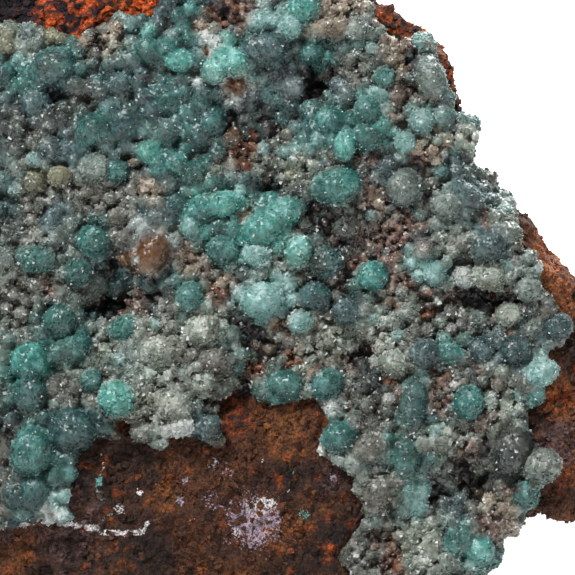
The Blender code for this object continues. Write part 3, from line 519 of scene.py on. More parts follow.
class Bench:
    """A new material, with the nodes that are added to it and joined."""

    def __init__(self, name: str) -> None:
        """Start a material that has only its shader."""
        self.material = bpy.data.materials.new(name)
        self.material.use_nodes = True
        self.shader = self.material.node_tree.nodes["Principled BSDF"]

    def add(self, kind: str, inputs: dict[str | int, object] | None = None,
            **settings: str) -> bpy.types.Node:
        """Add a node.

        Args:
            kind: the node's kind.
            inputs: what each input takes, a value or another node's output.
            settings: the node's settings.

        Returns:
            The new node.
        """
        node = self.material.node_tree.nodes.new(kind)
        for name, value in settings.items():
            setattr(node, name, value)
        self.feed(node, inputs or {})
        return node

    def feed(self, node: bpy.types.Node, inputs: dict[str | int, object]) -> None:
        """Set inputs of a node to values, or join other nodes' outputs to them.

        Args:
            node: the node.
            inputs: what each input takes.
        """
        for key, value in inputs.items():
            if isinstance(value, bpy.types.NodeSocket):
                self.material.node_tree.links.new(value, node.inputs[key])
            else:
                node.inputs[key].default_value = value

    def attribute(self, name: str) -> bpy.types.Node:
        """Add a node that reads what the mesh stores at its vertices."""
        return self.add("ShaderNodeAttribute", attribute_name=name)

    def vector(self, operation: str, *inputs: object) -> bpy.types.NodeSocket:
        """Return the outcome of an operation on vectors."""
        node = self.add("ShaderNodeVectorMath", dict(enumerate(inputs)), operation=operation)
        return node.outputs["Vector"]

    def scaled(self, vector: bpy.types.NodeSocket, amount: object) -> bpy.types.NodeSocket:
        """Return a vector or a colour times an amount."""
        node = self.add("ShaderNodeVectorMath", {0: vector, "Scale": amount}, operation="SCALE")
        return node.outputs["Vector"]

    def number(self, operation: str, first: object, second: object) -> bpy.types.NodeSocket:
        """Return the outcome of an operation on two numbers."""
        node = self.add("ShaderNodeMath", {0: first, 1: second}, operation=operation)
        return node.outputs["Value"]

    def ranged(self, value: bpy.types.NodeSocket, start: tuple[float, float] = (0.0, 1.0),
               end: tuple[float, float] = (0.0, 1.0)) -> bpy.types.NodeSocket:
        """Take a value from one range to another.

        Args:
            value: the value.
            start: the range that it comes from.
            end: the range that it goes to.

        Returns:
            The new value, kept inside its range.
        """
        node = self.add("ShaderNodeMapRange", {
            "Value": value, "From Min": start[0], "From Max": start[1], "To Min": end[0],
            "To Max": end[1]})
        return node.outputs["Result"]

    def noise(self, place: bpy.types.NodeSocket, size: float, detail: float,
              roughness: float) -> bpy.types.NodeSocket:
        """Return noise in the material.

        Args:
            place: where it is read.
            size: size of its features in metres.
            detail: how many finer grades it has.
            roughness: how strong they are.

        Returns:
            Its value, from 0 to 1.
        """
        node = self.add("ShaderNodeTexNoise", {
            "Vector": place, "Scale": 1.0 / size, "Detail": detail, "Roughness": roughness})
        return node.outputs["Fac"]

    def cells(self, place: bpy.types.NodeSocket, size: float) -> bpy.types.Node:
        """Add a node that splits space into cells of a size in metres."""
        return self.add("ShaderNodeTexVoronoi", {"Vector": place, "Scale": 1.0 / size})


@dataclass(frozen=True)
class CrystalFinish:
    """Finish of the crust: waxy see-into crystal with a glitter of tiny faces."""

    name: str
    roughness: float = 0.4
    refraction: float = 1.6
    glow: float = 0.3
    glow_depth: float = 0.8 * MM
    glow_reach: tuple[float, float, float] = (0.7, 1.0, 0.9)
    facet: float = 0.32 * MM
    tilt: float = 0.32
    unevenness: float = 0.16

    def material(self) -> bpy.types.Material:
        """Return the material, which reads its colour from the tint attribute."""
        bench = Bench(self.name)
        place = bench.add("ShaderNodeTexCoord").outputs["Object"]
        faces = bench.cells(place, self.facet).outputs["Color"]
        grey = bench.add("ShaderNodeSeparateColor", {"Color": faces}).outputs["Red"]
        shade = bench.ranged(grey, end=(1.0 - self.unevenness, 1.0 + self.unevenness))
        bench.feed(bench.shader, {
            "Roughness": self.roughness,
            "IOR": self.refraction,
            "Subsurface Weight": self.glow,
            "Subsurface Radius": self.glow_reach,
            "Subsurface Scale": self.glow_depth,
            "Base Color": bench.scaled(bench.attribute(TINT).outputs["Color"], shade),
            "Normal": self.glitter(bench, faces),
        })
        return bench.material

    def glitter(self, bench: Bench, faces: bpy.types.NodeSocket) -> bpy.types.NodeSocket:
        """Tilt each tiny face its own way, so that a few of them catch the light.

        Args:
            bench: the material that the nodes go in.
            faces: a colour of its own for each tiny face.

        Returns:
            The tilted normal.
        """
        tilt = bench.scaled(bench.vector("SUBTRACT", faces, (0.5, 0.5, 0.5)), 2.0 * self.tilt)
        normal = bench.add("ShaderNodeNewGeometry").outputs["Normal"]
        return bench.vector("NORMALIZE", bench.vector("ADD", normal, tilt))


@dataclass(frozen=True)
class StoneFinish:
    """Finish of the rock: dull earthy limonite with fine grit and thin pale flakes.

    The grit's range is the part of its noise that its shades run over, and the flakes' edge is how
    far from each other their noise and their density are where they begin and where they cover.
    """

    name: str
    roughness: float = 0.82
    shine: float = 0.3
    grit: float = 0.34 * MM
    grit_range: tuple[float, float] = (0.36, 0.66)
    shades: tuple[float, float] = (0.2, 1.95)
    crumb: float = 0.2 * MM
    flake: float = 0.26 * MM
    flake_edge: tuple[float, float] = (-0.03, 0.04)
    bump: float = 0.12 * MM
    bump_strength: float = 0.8

    def material(self) -> bpy.types.Material:
        """Return the material, which reads its colour from the tint attribute."""
        bench = Bench(self.name)
        place = bench.add("ShaderNodeTexCoord").outputs["Object"]
        grit = bench.noise(place, self.grit, 3.0, 0.7)
        shade = bench.ranged(grit, self.grit_range, self.shades)
        stone = bench.scaled(bench.attribute(TINT).outputs["Color"], shade)
        crumbs = bench.cells(place, self.crumb).outputs["Distance"]
        bump = bench.add("ShaderNodeBump", {
            "Strength": self.bump_strength, "Distance": self.bump,
            "Height": bench.number("ADD", grit, crumbs)})
        bench.feed(bench.shader, {
            "Roughness": self.roughness,
            "Specular IOR Level": self.shine,
            "Base Color": self.dusted(bench, place, stone, shade),
            "Normal": bump.outputs["Normal"],
        })
        return bench.material

    def dusted(self, bench: Bench, place: bpy.types.NodeSocket, stone: bpy.types.NodeSocket,
               shade: bpy.types.NodeSocket) -> bpy.types.NodeSocket:
        """Lay thin flakes of pale mineral over the stone, as densely as its dust attribute says.

        Args:
            bench: the material that the nodes go in.
            place: Object coordinates.
            stone: the bare stone's colour.
            shade: how light each grain is.

        Returns:
            The dusted colour.
        """
        dust = bench.attribute(DUST)
        flakes = bench.noise(place, self.flake, 2.0, 0.6)
        above = bench.number("SUBTRACT", dust.outputs["Alpha"], flakes)
        mixed = bench.add("ShaderNodeMixRGB", {
            "Fac": bench.ranged(above, self.flake_edge), "Color1": stone,
            "Color2": bench.scaled(dust.outputs["Color"], shade)})
        return mixed.outputs["Color"]


def new_piece(name: str, mesh: bpy.types.Mesh, material: bpy.types.Material) -> bpy.types.Object:
    """Put a mesh in the scene as a piece of the specimen.

    Args:
        name: the piece's name.
        mesh: its mesh, in place.
        material: its finish.

    Returns:
        The new object, at the origin.
    """
    piece = bpy.data.objects.new(name, mesh)
    bpy.context.scene.collection.objects.link(piece)
    mesh.materials.clear()
    mesh.materials.append(material)
    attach(piece, "root")
    return piece


def store(mesh: bpy.types.Mesh, name: str, colours: Array) -> None:
    """Store a colour and a fourth number at each vertex of a mesh."""
    attribute = mesh.attributes.new(name, "FLOAT_COLOR", "POINT")
    attribute.data.foreach_set("color", colours.astype(np.float32).ravel())


def paint(mesh: bpy.types.Mesh, tints: Array) -> None:
    """Store the tint at each vertex of a mesh.

    Args:
        mesh: the mesh.
        tints: red, green and blue amounts of light, one row for each vertex.
    """
    colours = np.ones((len(tints), 4))
    colours[:, :3] = np.clip(tints, 0.0, 1.0)
    store(mesh, TINT, colours)


def store_chart(mesh: bpy.types.Mesh, places: Array) -> None:
    """Store the UV map of a piece, one place for each corner of its faces."""
    layer = mesh.uv_layers.new(name="OFBake")
    layer.data.foreach_set("uv", places.astype(np.float32).ravel())


def read(items: Iterable, name: str, width: int = 1, kind: type = np.float32) -> Array:
    """Read one property of all vertices, faces or corners of a mesh.

    Args:
        items: the vertices, faces or corners.
        name: the property.
        width: how many numbers it has.
        kind: the kind of its numbers.

    Returns:
        Its numbers, in rows where it has more than one.
    """
    values = np.empty(len(items) * width, dtype=kind)
    items.foreach_get(name, values)
    return values.reshape(-1, width) if width > 1 else values


def coordinates(mesh: bpy.types.Mesh) -> Array:
    """Return a mesh's vertices in rows."""
    return read(mesh.vertices, "co", 3).astype(float)


def normals(mesh: bpy.types.Mesh) -> Array:
    """Return a mesh's vertex normals in rows."""
    return read(mesh.vertex_normals, "vector", 3).astype(float)


def triangles(mesh: bpy.types.Mesh) -> Array:
    """Return the vertex numbers of a mesh's triangles in rows."""
    mesh.calc_loop_triangles()
    return read(mesh.loop_triangles, "vertices", 3, np.int32)


def show_smooth(mesh: bpy.types.Mesh, smooth: bool) -> None:
    """Show a mesh as smooth, or each of its faces as a facet."""
    mesh.polygons.foreach_set("use_smooth", np.full(len(mesh.polygons), smooth))


def merged_copy(node: str) -> bpy.types.Mesh:
    """Return a closed copy of a CAD node's mesh, whose triangles there are loose."""
    bm = bmesh.new()
    bm.from_mesh(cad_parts[node].data)
    bmesh.ops.remove_doubles(bm, verts=bm.verts, dist=WELD)
    mesh = bpy.data.meshes.new(node + "_copy")
    bm.to_mesh(mesh)
    bm.free()
    return mesh


def evaluated(mesh: bpy.types.Mesh, kind: str, groups: dict[str, Array] | None = None,
              **settings: object) -> bpy.types.Mesh:
    """Put a mesh through one of Blender's modifiers.

    Args:
        mesh: the mesh.
        kind: the modifier's kind.
        groups: vertex groups to make first, as the numbers of their vertices.
        settings: the modifier's settings.

    Returns:
        The resulting mesh.
    """
    thing = bpy.data.objects.new("blank", mesh)
    bpy.context.scene.collection.objects.link(thing)
    for name, members in (groups or {}).items():
        thing.vertex_groups.new(name=name).add(members.tolist(), 1.0, "REPLACE")
    modifier = thing.modifiers.new("shaping", kind)
    for name, value in settings.items():
        setattr(modifier, name, value)
    depsgraph = bpy.context.evaluated_depsgraph_get()
    result = bpy.data.meshes.new_from_object(thing.evaluated_get(depsgraph))
    bpy.data.objects.remove(thing, do_unlink=True)
    return result


def smooth(mesh: bpy.types.Mesh, rounds: int) -> None:
    """Even a mesh's surface out, as each vertex moves towards its neighbours in each round."""
    bm = bmesh.new()
    bm.from_mesh(mesh)
    for _ in range(rounds):
        bmesh.ops.smooth_vert(bm, verts=bm.verts, factor=0.5, use_axis_x=True, use_axis_y=True,
                              use_axis_z=True)
    bm.to_mesh(mesh)
    bm.free()


def move_vertices(mesh: bpy.types.Mesh, points: Array) -> None:
    """Give a mesh's vertices new places."""
    mesh.vertices.foreach_set("co", points.astype(np.float32).ravel())
    mesh.update()


def tree_of(mesh: bpy.types.Mesh) -> BVHTree:
    """Return a search tree of a mesh's faces."""
    bm = bmesh.new()
    bm.from_mesh(mesh)
    tree = BVHTree.FromBMesh(bm)
    bm.free()
    return tree


def tree_of_points(points: Array) -> KDTree:
    """Return a search tree of points in rows."""
    tree = KDTree(len(points))
    for index, point in enumerate(points):
        tree.insert(point, index)
    tree.balance()
    return tree


def distances(points: Array, tree: BVHTree) -> Array:
    """Return how far each point lies from the nearest face of a tree."""
    find = tree.find_nearest
    return np.array([find(Vector(point))[3] for point in points])


def lay_out_sides(mesh: bpy.types.Mesh) -> None:
    """Give a piece a UV map with one chart for each of the six sides that its faces look to.

    Args:
        mesh: the piece's mesh.
    """
    facing = read(mesh.polygons, "normal", 3)
    axis = np.abs(facing).argmax(axis=1)
    forward = facing[np.arange(len(facing)), axis] > 0.0
    side = np.repeat(2 * axis + forward, read(mesh.polygons, "loop_total", 1, np.int32))
    points = coordinates(mesh)
    flat = (points - points.min(axis=0)) / np.ptp(points, axis=0).max()
    flat = CHART_MARGIN + (1.0 - 2.0 * CHART_MARGIN) * flat
    flat = flat[read(mesh.loops, "vertex_index", 1, np.int32)]
    pairs = np.array([[1, 2], [0, 2], [0, 1]])[side // 2]
    chosen = np.take_along_axis(flat, pairs, axis=1)
    corner = np.stack([side // 2, side % 2], axis=1)
    store_chart(mesh, (chosen + corner) / [3.0, 2.0])


def random_turns(draw: np.random.Generator, count: int) -> Array:
    """Return turns in space, evenly spread.

    Args:
        draw: source of random numbers.
        count: how many turns.

    Returns:
        One 3 by 3 matrix for each turn.
    """
    w, x, y, z = unit(draw.normal(size=(count, 4))).T
    rows = [
        [1 - 2 * (y * y + z * z), 2 * (x * y - z * w), 2 * (x * z + y * w)],
        [2 * (x * y + z * w), 1 - 2 * (x * x + z * z), 2 * (y * z - x * w)],
        [2 * (x * z - y * w), 2 * (y * z + x * w), 1 - 2 * (x * x + y * y)],
    ]
    return np.array(rows).transpose(2, 0, 1)


def turns_along(directions: Array, draw: np.random.Generator) -> Array:
    """Return turns that take z to the given directions, spun at random about them.

    Args:
        directions: directions of length one, in rows.
        draw: source of random numbers.

    Returns:
        One 3 by 3 matrix for each direction.
    """
    across = unit(np.cross(directions, draw.normal(size=directions.shape)))
    along = np.cross(directions, across)
    return np.stack([across, along, directions], axis=2)


@dataclass
class Seats:
    """Places on a surface where crystals or crumbs stand, with the surface's colours there."""

    places: Array
    outwards: Array
    tints: Array

    @classmethod
    def on(cls, mesh: bpy.types.Mesh, cover: Array, draw: np.random.Generator) -> "Seats":
        """Choose places at random.

        Args:
            mesh: the painted surface.
            cover: how many to have on a square millimetre, for each vertex.
            draw: source of random numbers.

        Returns:
            The chosen places.
        """
        corners = triangles(mesh)
        points = coordinates(mesh)
        tints = read(mesh.attributes[TINT].data, "color", 4)[:, :3]
        a, b, c = points[corners].transpose(1, 0, 2)
        crossed = np.cross(b - a, c - a)
        area = 0.5 * np.linalg.norm(crossed, axis=1) / MM ** 2
        wanted = draw.poisson(area * cover[corners].mean(axis=1))
        chosen = np.repeat(np.arange(len(corners)), wanted)
        parts = draw.dirichlet((1.0, 1.0, 1.0), len(chosen))
        places = np.einsum("nk,nki->ni", parts, points[corners[chosen]])
        colours = np.einsum("nk,nki->ni", parts, tints[corners[chosen]])
        return cls(places, unit(crossed[chosen]), colours)

    def __len__(self) -> int:
        """Return how many places there are."""
        return len(self.places)

    def some(self, part: slice | Array) -> "Seats":
        """Return some of the places."""
        return Seats(self.places[part], self.outwards[part], self.tints[part])


@dataclass
class Crowd:
    """Many copies of a few small shapes of like build, joined as one mesh."""

    foot: ClassVar[float] = 0.6
    tips: ClassVar[tuple[float, float]] = (0.25, 0.5)
    heights: ClassVar[tuple[float, float]] = (0.8, 1.2)
    shapes: list[Array]
    faces: Array

    @classmethod
    def of_stubs(cls, kinds: int, sides: int, jitter: float, seed: int) -> "Crowd":
        """Return a crowd of blunt crystals that point along z.

        Args:
            kinds: how many unlike crystals there are.
            sides: how many sides each has.
            jitter: how far the corners are out of place.
            seed: start of the random numbers.

        Returns:
            The crowd, with nothing in it yet.
        """
        draw = np.random.default_rng(seed)
        shapes = []
        for _ in range(kinds):
            bm = bmesh.new()
            bmesh.ops.create_cone(bm, cap_ends=True, segments=sides, radius1=cls.foot,
                                  radius2=draw.uniform(*cls.tips),
                                  depth=draw.uniform(*cls.heights))
            bmesh.ops.triangulate(bm, faces=bm.faces)
            bm.verts.ensure_lookup_table()
            faces = np.array([[vertex.index for vertex in face.verts] for face in bm.faces])
            shape = np.array([vertex.co for vertex in bm.verts])
            bm.free()
            shapes.append(shape + draw.uniform(-jitter, jitter, shape.shape))
        return cls(shapes, faces)

    def joined(self, name: str, seats: Seats, turns: Array, sizes: Array,
               draw: np.random.Generator, tip_light: float) -> bpy.types.Mesh:
        """Join placed copies of the shapes as one mesh.

        Args:
            name: the mesh's name.
            seats: where each copy stands, and its colour.
            turns: each copy's turn, a matrix.
            sizes: each copy's size along its own x, y and z.
            draw: source of random numbers.
            tip_light: how much lighter a copy is at its tip than at its foot.

        Returns:
            The painted mesh.
        """
        count = len(seats)
        which = draw.integers(0, len(self.shapes), count)
        shapes = np.array(self.shapes)[which]
        local = np.einsum("nij,nvj->nvi", turns, shapes * sizes[:, None, :])
        points = local + seats.places[:, None, :]
        corners = self.faces[None, :, :] + (np.arange(count) * points.shape[1])[:, None, None]
        mesh = mesh_from(name, points.reshape(-1, 3), corners.reshape(-1, 3))
        shade = 1.0 + tip_light * shapes[:, :, 2]
        paint(mesh, (seats.tints[:, None, :] * shade[..., None]).reshape(-1, 3))
        self.lay_out(mesh, count)
        return mesh

    def lay_out(self, mesh: bpy.types.Mesh, count: int) -> None:
        """Give each copy a cell of its own in the piece's UV map, seen from above.

        Args:
            mesh: the joined mesh.
            count: how many copies it has.
        """
        side = math.ceil(math.sqrt(count))
        cell = np.arange(count)
        corner = np.stack([cell % side, cell // side], axis=1) / side
        flat = np.array(self.shapes[0])[:, :2]
        flat = (flat - flat.min(axis=0)) / np.ptp(flat, axis=0)
        points = (corner[:, None, :] + (0.1 + 0.8 * flat[None, :, :]) / side).reshape(-1, 2)
        store_chart(mesh, points[read(mesh.loops, "vertex_index", 1, np.int32)])


def mesh_from(name: str, points: Array, corners: Array) -> bpy.types.Mesh:
    """Return a flat-shaded mesh of triangles from joined copies of a shape.

    Args:
        name: the mesh's name.
        points: the vertices in rows.
        corners: three vertex numbers for each triangle.

    Returns:
        The mesh.
    """
    mesh = bpy.data.meshes.new(name)
    mesh.vertices.add(len(points))
    mesh.vertices.foreach_set("co", points.astype(np.float32).ravel())
    mesh.loops.add(corners.size)
    mesh.loops.foreach_set("vertex_index", corners.astype(np.int32).ravel())
    mesh.polygons.add(len(corners))
    mesh.polygons.foreach_set("loop_start", np.arange(0, corners.size, 3, dtype=np.int32))
    mesh.update(calc_edges=True)
    show_smooth(mesh, False)
    return mesh


class Stone(Enum):
    """The colours of the rock."""

    EMBER = (142, 66, 26)
    SIENNA = (72, 42, 25)
    OCHRE = (100, 59, 28)
    UMBER = (46, 30, 23)
    SOOT = (20, 16, 16)
    TAWNY = (128, 76, 44)
    FLAME = (192, 84, 32)
    INK = (20, 21, 30)
    PLUM = (80, 61, 60)
    DUSTY = (142, 126, 138)
    CHALK = (196, 190, 190)
    VERDIGRIS = (96, 146, 140)


EMBER, SIENNA, OCHRE, UMBER, SOOT, TAWNY, FLAME, INK, PLUM, DUSTY, CHALK, VERDIGRIS = Stone


class StonePatch(NamedTuple):
    """A round area of one colour of rock, in pixels, with how much of it is covered."""

    across: float
    down: float
    radius: float
    stone: Stone
    share: float


class StoneLine(NamedTuple):
    """A thin line of one colour on the rock, in pixels, with its half width."""

    points: tuple[tuple[float, float], ...]
    width: float
    stone: Stone
    share: float


STONE_PATCHES = [StonePatch(*row) for row in (
    (75, 12, 64, FLAME, 0.42), (150, 8, 34, FLAME, 0.55), (50, 12, 80, INK, 0.5),
    (8, 10, 34, INK, 0.7), (26, 16, 10, INK, 0.7), (64, 14, 12, INK, 0.7), (82, 20, 10, INK, 0.7),
    (400, 10, 44, EMBER, 0.42), (395, 35, 22, SOOT, 0.6), (450, 80, 34, EMBER, 0.5),
    (450, 80, 30, SOOT, 0.5), (545, 260, 36, TAWNY, 0.85), (560, 300, 34, TAWNY, 0.6),
    (560, 400, 28, TAWNY, 0.8), (562, 400, 16, EMBER, 0.45), (556, 445, 30, PLUM, 0.6),
    (562, 480, 16, EMBER, 0.5), (560, 505, 30, SIENNA, 0.6), (230, 415, 30, EMBER, 0.3),
    (290, 430, 34, OCHRE, 0.45), (210, 490, 60, SIENNA, 0.6), (130, 470, 44, UMBER, 0.6),
    (88, 480, 16, SOOT, 0.75), (70, 558, 50, UMBER, 0.7), (320, 500, 30, OCHRE, 0.35),
    (60, 520, 60, PLUM, 0.45), (340, 545, 26, SOOT, 0.5), (140, 552, 60, UMBER, 0.7),
    (145, 548, 26, SOOT, 0.5), (253, 521, 38, DUSTY, 0.72), (246, 524, 22, DUSTY, 0.85),
    (268, 520, 18, DUSTY, 0.85), (215, 500, 14, DUSTY, 0.5), (225, 470, 14, DUSTY, 0.4),
    (250, 507, 9, CHALK, 0.9), (262, 503, 9, CHALK, 0.95), (271, 503, 7, CHALK, 0.8),
    (260, 513, 11, CHALK, 0.75), (243, 517, 9, CHALK, 0.6), (236, 533, 6, CHALK, 0.6),
    (212, 463, 8, CHALK, 0.7), (336, 478, 9, DUSTY, 0.6), (185, 480, 6, DUSTY, 0.8),
    (180, 500, 7, DUSTY, 0.7), (192, 520, 5, CHALK, 0.6), (5, 535, 10, PLUM, 0.8),
    (120, 510, 8, CHALK, 0.6), (140, 492, 5, CHALK, 0.7), (292, 473, 4, VERDIGRIS, 0.8),
    (287, 490, 4, CHALK, 0.7), (304, 514, 9, VERDIGRIS, 0.5), (157, 485, 4, VERDIGRIS, 0.8),
    (262, 460, 3, CHALK, 0.9), (332, 482, 16, PLUM, 0.55), (210, 560, 4, CHALK, 0.6),
    (330, 550, 8, EMBER, 0.7), (99, 488, 4, VERDIGRIS, 0.8),
)]

STONE_LINES = [StoneLine(*row) for row in (
    (((35, 519), (60, 523), (82, 527), (100, 529)), 4.5, CHALK, 0.95),
    (((88, 528), (104, 532), (120, 533), (142, 533), (148, 522)), 4.0, CHALK, 0.85),
    (((100, 527), (104, 518), (112, 514)), 3.0, VERDIGRIS, 0.8),
    (((0, 527), (25, 524), (38, 520)), 5.0, CHALK, 0.95),
    (((74, 470), (80, 453), (87, 448)), 3.0, CHALK, 0.55),
    (((101, 452), (104, 466), (100, 478)), 3.0, CHALK, 0.55),
    (((100, 476), (98, 488), (102, 499)), 4.5, VERDIGRIS, 1.0),
)]


class Wash(NamedTuple):
    """A colour over the bare rock, as strong as broad and fine noise say, up to a limit."""

    stone: Stone
    base: float
    broad: float
    fine: float
    most: float


WASHES = [Wash(*row) for row in (
    (UMBER, 0.5, 1.8, 1.0, 1.0), (OCHRE, -0.1, -1.6, 1.4, 1.0), (EMBER, -0.4, 0.0, 1.6, 0.7),
)]


class Grade(NamedTuple):
    """One grade of unevenness: the size and the shift of its noise, and its height."""

    size: float
    shift: float
    height: float

    def at(self, points: Array) -> Array:
        """Return the grade's noise at points."""
        return noise_at(points, self.size, self.shift)


@dataclass
class Rock:
    """The lump of brown iron-oxide rock.

    The washes' noises are each a size and a shift. Soot settles where the finest of them is past a
    start on the sides and the back, and past another anywhere.
    """

    broad: Grade = Grade(5.0 * MM, 1.0, 0.5)
    ledges: Grade = Grade(2.6 * MM, 3.0, 0.4)
    knobs: Grade = Grade(1.25 * MM, 7.0, 0.32)
    grit: Grade = Grade(0.62 * MM, 9.0, 0.2)
    ledge_depth: float = 2.2
    sunk: float = 0.25
    tint_noises: tuple[tuple[float, float], ...] = (
        (6.0 * MM, 2.0), (1.3 * MM, 4.0), (0.7 * MM, 9.0))
    patch_raggedness: float = 0.4
    line_raggedness: float = 0.5
    voxel: float = 0.535 * MM
    foot: float = 0.8 * MM
    front: float = -26.0 * MM
    crumb_seed: int = 15
    crumb_cover: float = 0.25
    front_crumb_cover: float = 1.1
    crumb_size: tuple[float, float] = (0.45, 1.1)
    flaky: tuple[Stone, ...] = (DUSTY, CHALK, VERDIGRIS)
    dark: tuple[Stone, ...] = (SOOT, INK, UMBER)
    first_flakes: float = 0.28
    flakes: float = 0.44
    flake_core: float = 1.6
    mark_core: float = 1.8
    swing: float = 0.9
    mark_sharpness: float = 3.0
    front_depth: float = 6.0 * MM
    soot_slope: float = 2.5
    soot_starts: tuple[float, float] = (0.22, 0.25)
    most_soot: tuple[float, float] = (0.9, 0.85)
    crumb_gap: float = 0.5 * MM
    crumb_thickness: tuple[float, float] = (0.6, 1.1)
    front_side: float = 0.2
    least_crumbs: float = 0.2
    most_crumbs: float = 2.2
    crumb_shades: tuple[float, float] = (0.5, 1.7)
    finish: StoneFinish = StoneFinish("limonite")

    def build(self) -> list[bpy.types.Object]:
        """Return the finished rock, which stands for its plain solid, and its crumbs."""
        mesh = evaluated(merged_copy("limonite_matrix"), "REMESH", mode="VOXEL",
                         voxel_size=self.voxel)
        self.roughen(mesh)
        tints, dust = self.tints(coordinates(mesh))
        paint(mesh, tints)
        store(mesh, DUST, dust)
        show_smooth(mesh, False)
        lay_out_sides(mesh)
        material = self.finish.material()
        rock = new_piece("limonite_rock", mesh, material)
        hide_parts("limonite_matrix")
        mesh = self.crumbs(mesh)
        store(mesh, DUST, np.zeros((len(mesh.vertices), 4)))
        crumbs = new_piece("limonite_crumbs", mesh, material)
        return [rock, crumbs]

    def roughen(self, mesh: bpy.types.Mesh) -> None:
        """Break the rock's surface up, but keep the base that it rests on flat."""
        points = coordinates(mesh)
        outwards = normals(mesh)
        broad = self.broad.height * self.broad.at(points)
        ledge = self.ledges.height * (1.0 - self.ledge_depth * np.abs(self.ledges.at(points)))
        knob = self.knobs.height * self.knobs.at(points)
        grit = self.grit.height * self.grit.at(points)
        height = MM * (broad + ledge + knob + grit - self.sunk)
        loose = np.clip(points[:, 2] / self.foot, 0.0, 1.0)
        move_vertices(mesh, points + outwards * (height * loose)[:, None])

    def tints(self, points: Array) -> tuple[Array, Array]:
        """Return the rock's colours and the pale mineral flakes that lie on it.

        Args:
            points: the vertices in rows.

        Returns:
            Amounts of light, and the flakes' amounts of light with how dense they are, one row
            of each for each vertex.
        """
        broad, fine, speck = (noise_at(points, *grade) for grade in self.tint_noises)
        tints = np.tile(linear(SIENNA.value), (len(points), 1))
        for wash in WASHES:
            cover = wash.base + wash.broad * broad + wash.fine * fine
            self.spread(tints, wash.stone, np.clip(cover, 0.0, wash.most))
        pixels = FACE.pixels(points)
        out = FACE.places(points)[:, 2]
        facing = np.clip((out - self.front) / self.front_depth, 0.0, 1.0)
        dust = np.zeros((len(points), 4))
        for patch in STONE_PATCHES:
            far = np.hypot(pixels[:, 0] - patch.across, pixels[:, 1] - patch.down) / patch.radius
            far *= 1.0 + self.patch_raggedness * fine
            if patch.stone in self.flaky:
                self.strew(dust, patch, far, facing)
            else:
                self.mark(tints, patch, far, speck, facing)
        for line in STONE_LINES:
            far = self.off_line(pixels, line) / line.width
            self.strew(dust, line, far * (1.0 + self.line_raggedness * fine), facing)
        coats = (speck, 1.0 - facing), (-speck, 1.0)
        for (specks, share), start, most in zip(coats, self.soot_starts, self.most_soot):
            soot = np.clip(self.soot_slope * (specks - start), 0.0, most)
            self.spread(tints, SOOT, soot * share)
        return tints, dust

    def strew(self, dust: Array, patch: StonePatch | StoneLine, far: Array,
              facing: Array) -> None:
        """Strew a patch or a line of flakes, where they are denser than those so far.

        Args:
            dust: the flakes' colours and how dense they are, changed in place.
            patch: the patch or the line.
            far: how far each vertex lies from it, where 1 is its edge.
            facing: how much of it each vertex takes by the side that it is on.
        """
        near = np.clip(self.flake_core * (1.0 - far), 0.0, 1.0) * facing
        dense = np.where(near > 0.0, self.first_flakes + self.flakes * near * patch.share, 0.0)
        denser = dense > dust[:, 3]
        dust[denser, :3] = linear(patch.stone.value)
        dust[denser, 3] = dense[denser]

    def mark(self, tints: Array, patch: StonePatch, far: Array, speck: Array,
             facing: Array) -> None:
        """Lay a patch of colour over the colours so far.

        Args:
            tints: the colours, changed in place.
            patch: the patch.
            far: how far each vertex lies from it, where 1 is its edge.
            speck: fine noise, which breaks the colour up.
            facing: how much of it each vertex takes by the side that it is on.
        """
        near = np.clip(self.mark_core * (1.0 - far), 0.0, 1.0)
        swing = -self.swing if patch.stone in self.dark else self.swing
        cover = (patch.share - 0.5 + swing * speck) * self.mark_sharpness + 0.5
        cover = np.clip(cover, 0.0, 1.0)
        self.spread(tints, patch.stone, near * cover * facing)

    def off_line(self, pixels: Array, line: StoneLine) -> Array:
        """Return how many pixels each point lies off a line of points.

        Args:
            pixels: the points, in pixels.
            line: the line.

        Returns:
            The shortest distance of each.
        """
        far = np.full(len(pixels), 1e9)
        for start, end in zip(line.points[:-1], line.points[1:]):
            start = np.array(start, dtype=float)
            along = np.array(end) - start
            share = np.clip((pixels - start) @ along / along.dot(along), 0.0, 1.0)
            off = np.linalg.norm(pixels - start - share[:, None] * along, axis=1)
            far = np.minimum(far, off)
        return far

    def spread(self, tints: Array, stone: Stone, share: Array) -> None:
        """Lay a colour over the colours so far.

        Args:
            tints: the colours, changed in place.
            stone: the colour that is laid over them.
            share: how much of it shows at each vertex.
        """
        tints += share[:, None] * (linear(stone.value) - tints)

    def crumbs(self, mesh: bpy.types.Mesh) -> bpy.types.Mesh:
        """Return the crumbs of rock that stick to its bare surface.

        Args:
            mesh: the rock's mesh.

        Returns:
            The crumbs' mesh.
        """
        draw = np.random.default_rng(self.crumb_seed)
        points = coordinates(mesh)
        facing = normals(mesh) @ FACE.axes[2]
        front = (facing > self.front_side) & (FACE.places(points)[:, 2] > self.front)
        cover = np.where(front, self.front_crumb_cover, self.crumb_cover)
        cover = np.where(points[:, 2] < 2.0 * self.foot, 0.0, cover)
        uneven = 1.0 + 1.6 * noise_at(points, 3.0 * MM, 6.0)
        cover *= np.clip(uneven, self.least_crumbs, self.most_crumbs)
        seats = Seats.on(mesh, cover, draw)
        crust = tree_of(merged_copy("adamite_crust"))
        seats = seats.some(distances(seats.places, crust) > self.crumb_gap)
        count = len(seats)
        small, large = self.crumb_size
        width = MM * (small + (large - small) * draw.uniform(size=count) ** 2)
        sizes = width[:, None] * draw.uniform(*self.crumb_thickness, (count, 3))
        seats.tints *= draw.uniform(*self.crumb_shades, (count, 1))
        crowd = Crowd.of_stubs(kinds=10, sides=4, jitter=0.16, seed=92)
        return crowd.joined("limonite_crumbs", seats, random_turns(draw, count), sizes, draw, 0.2)


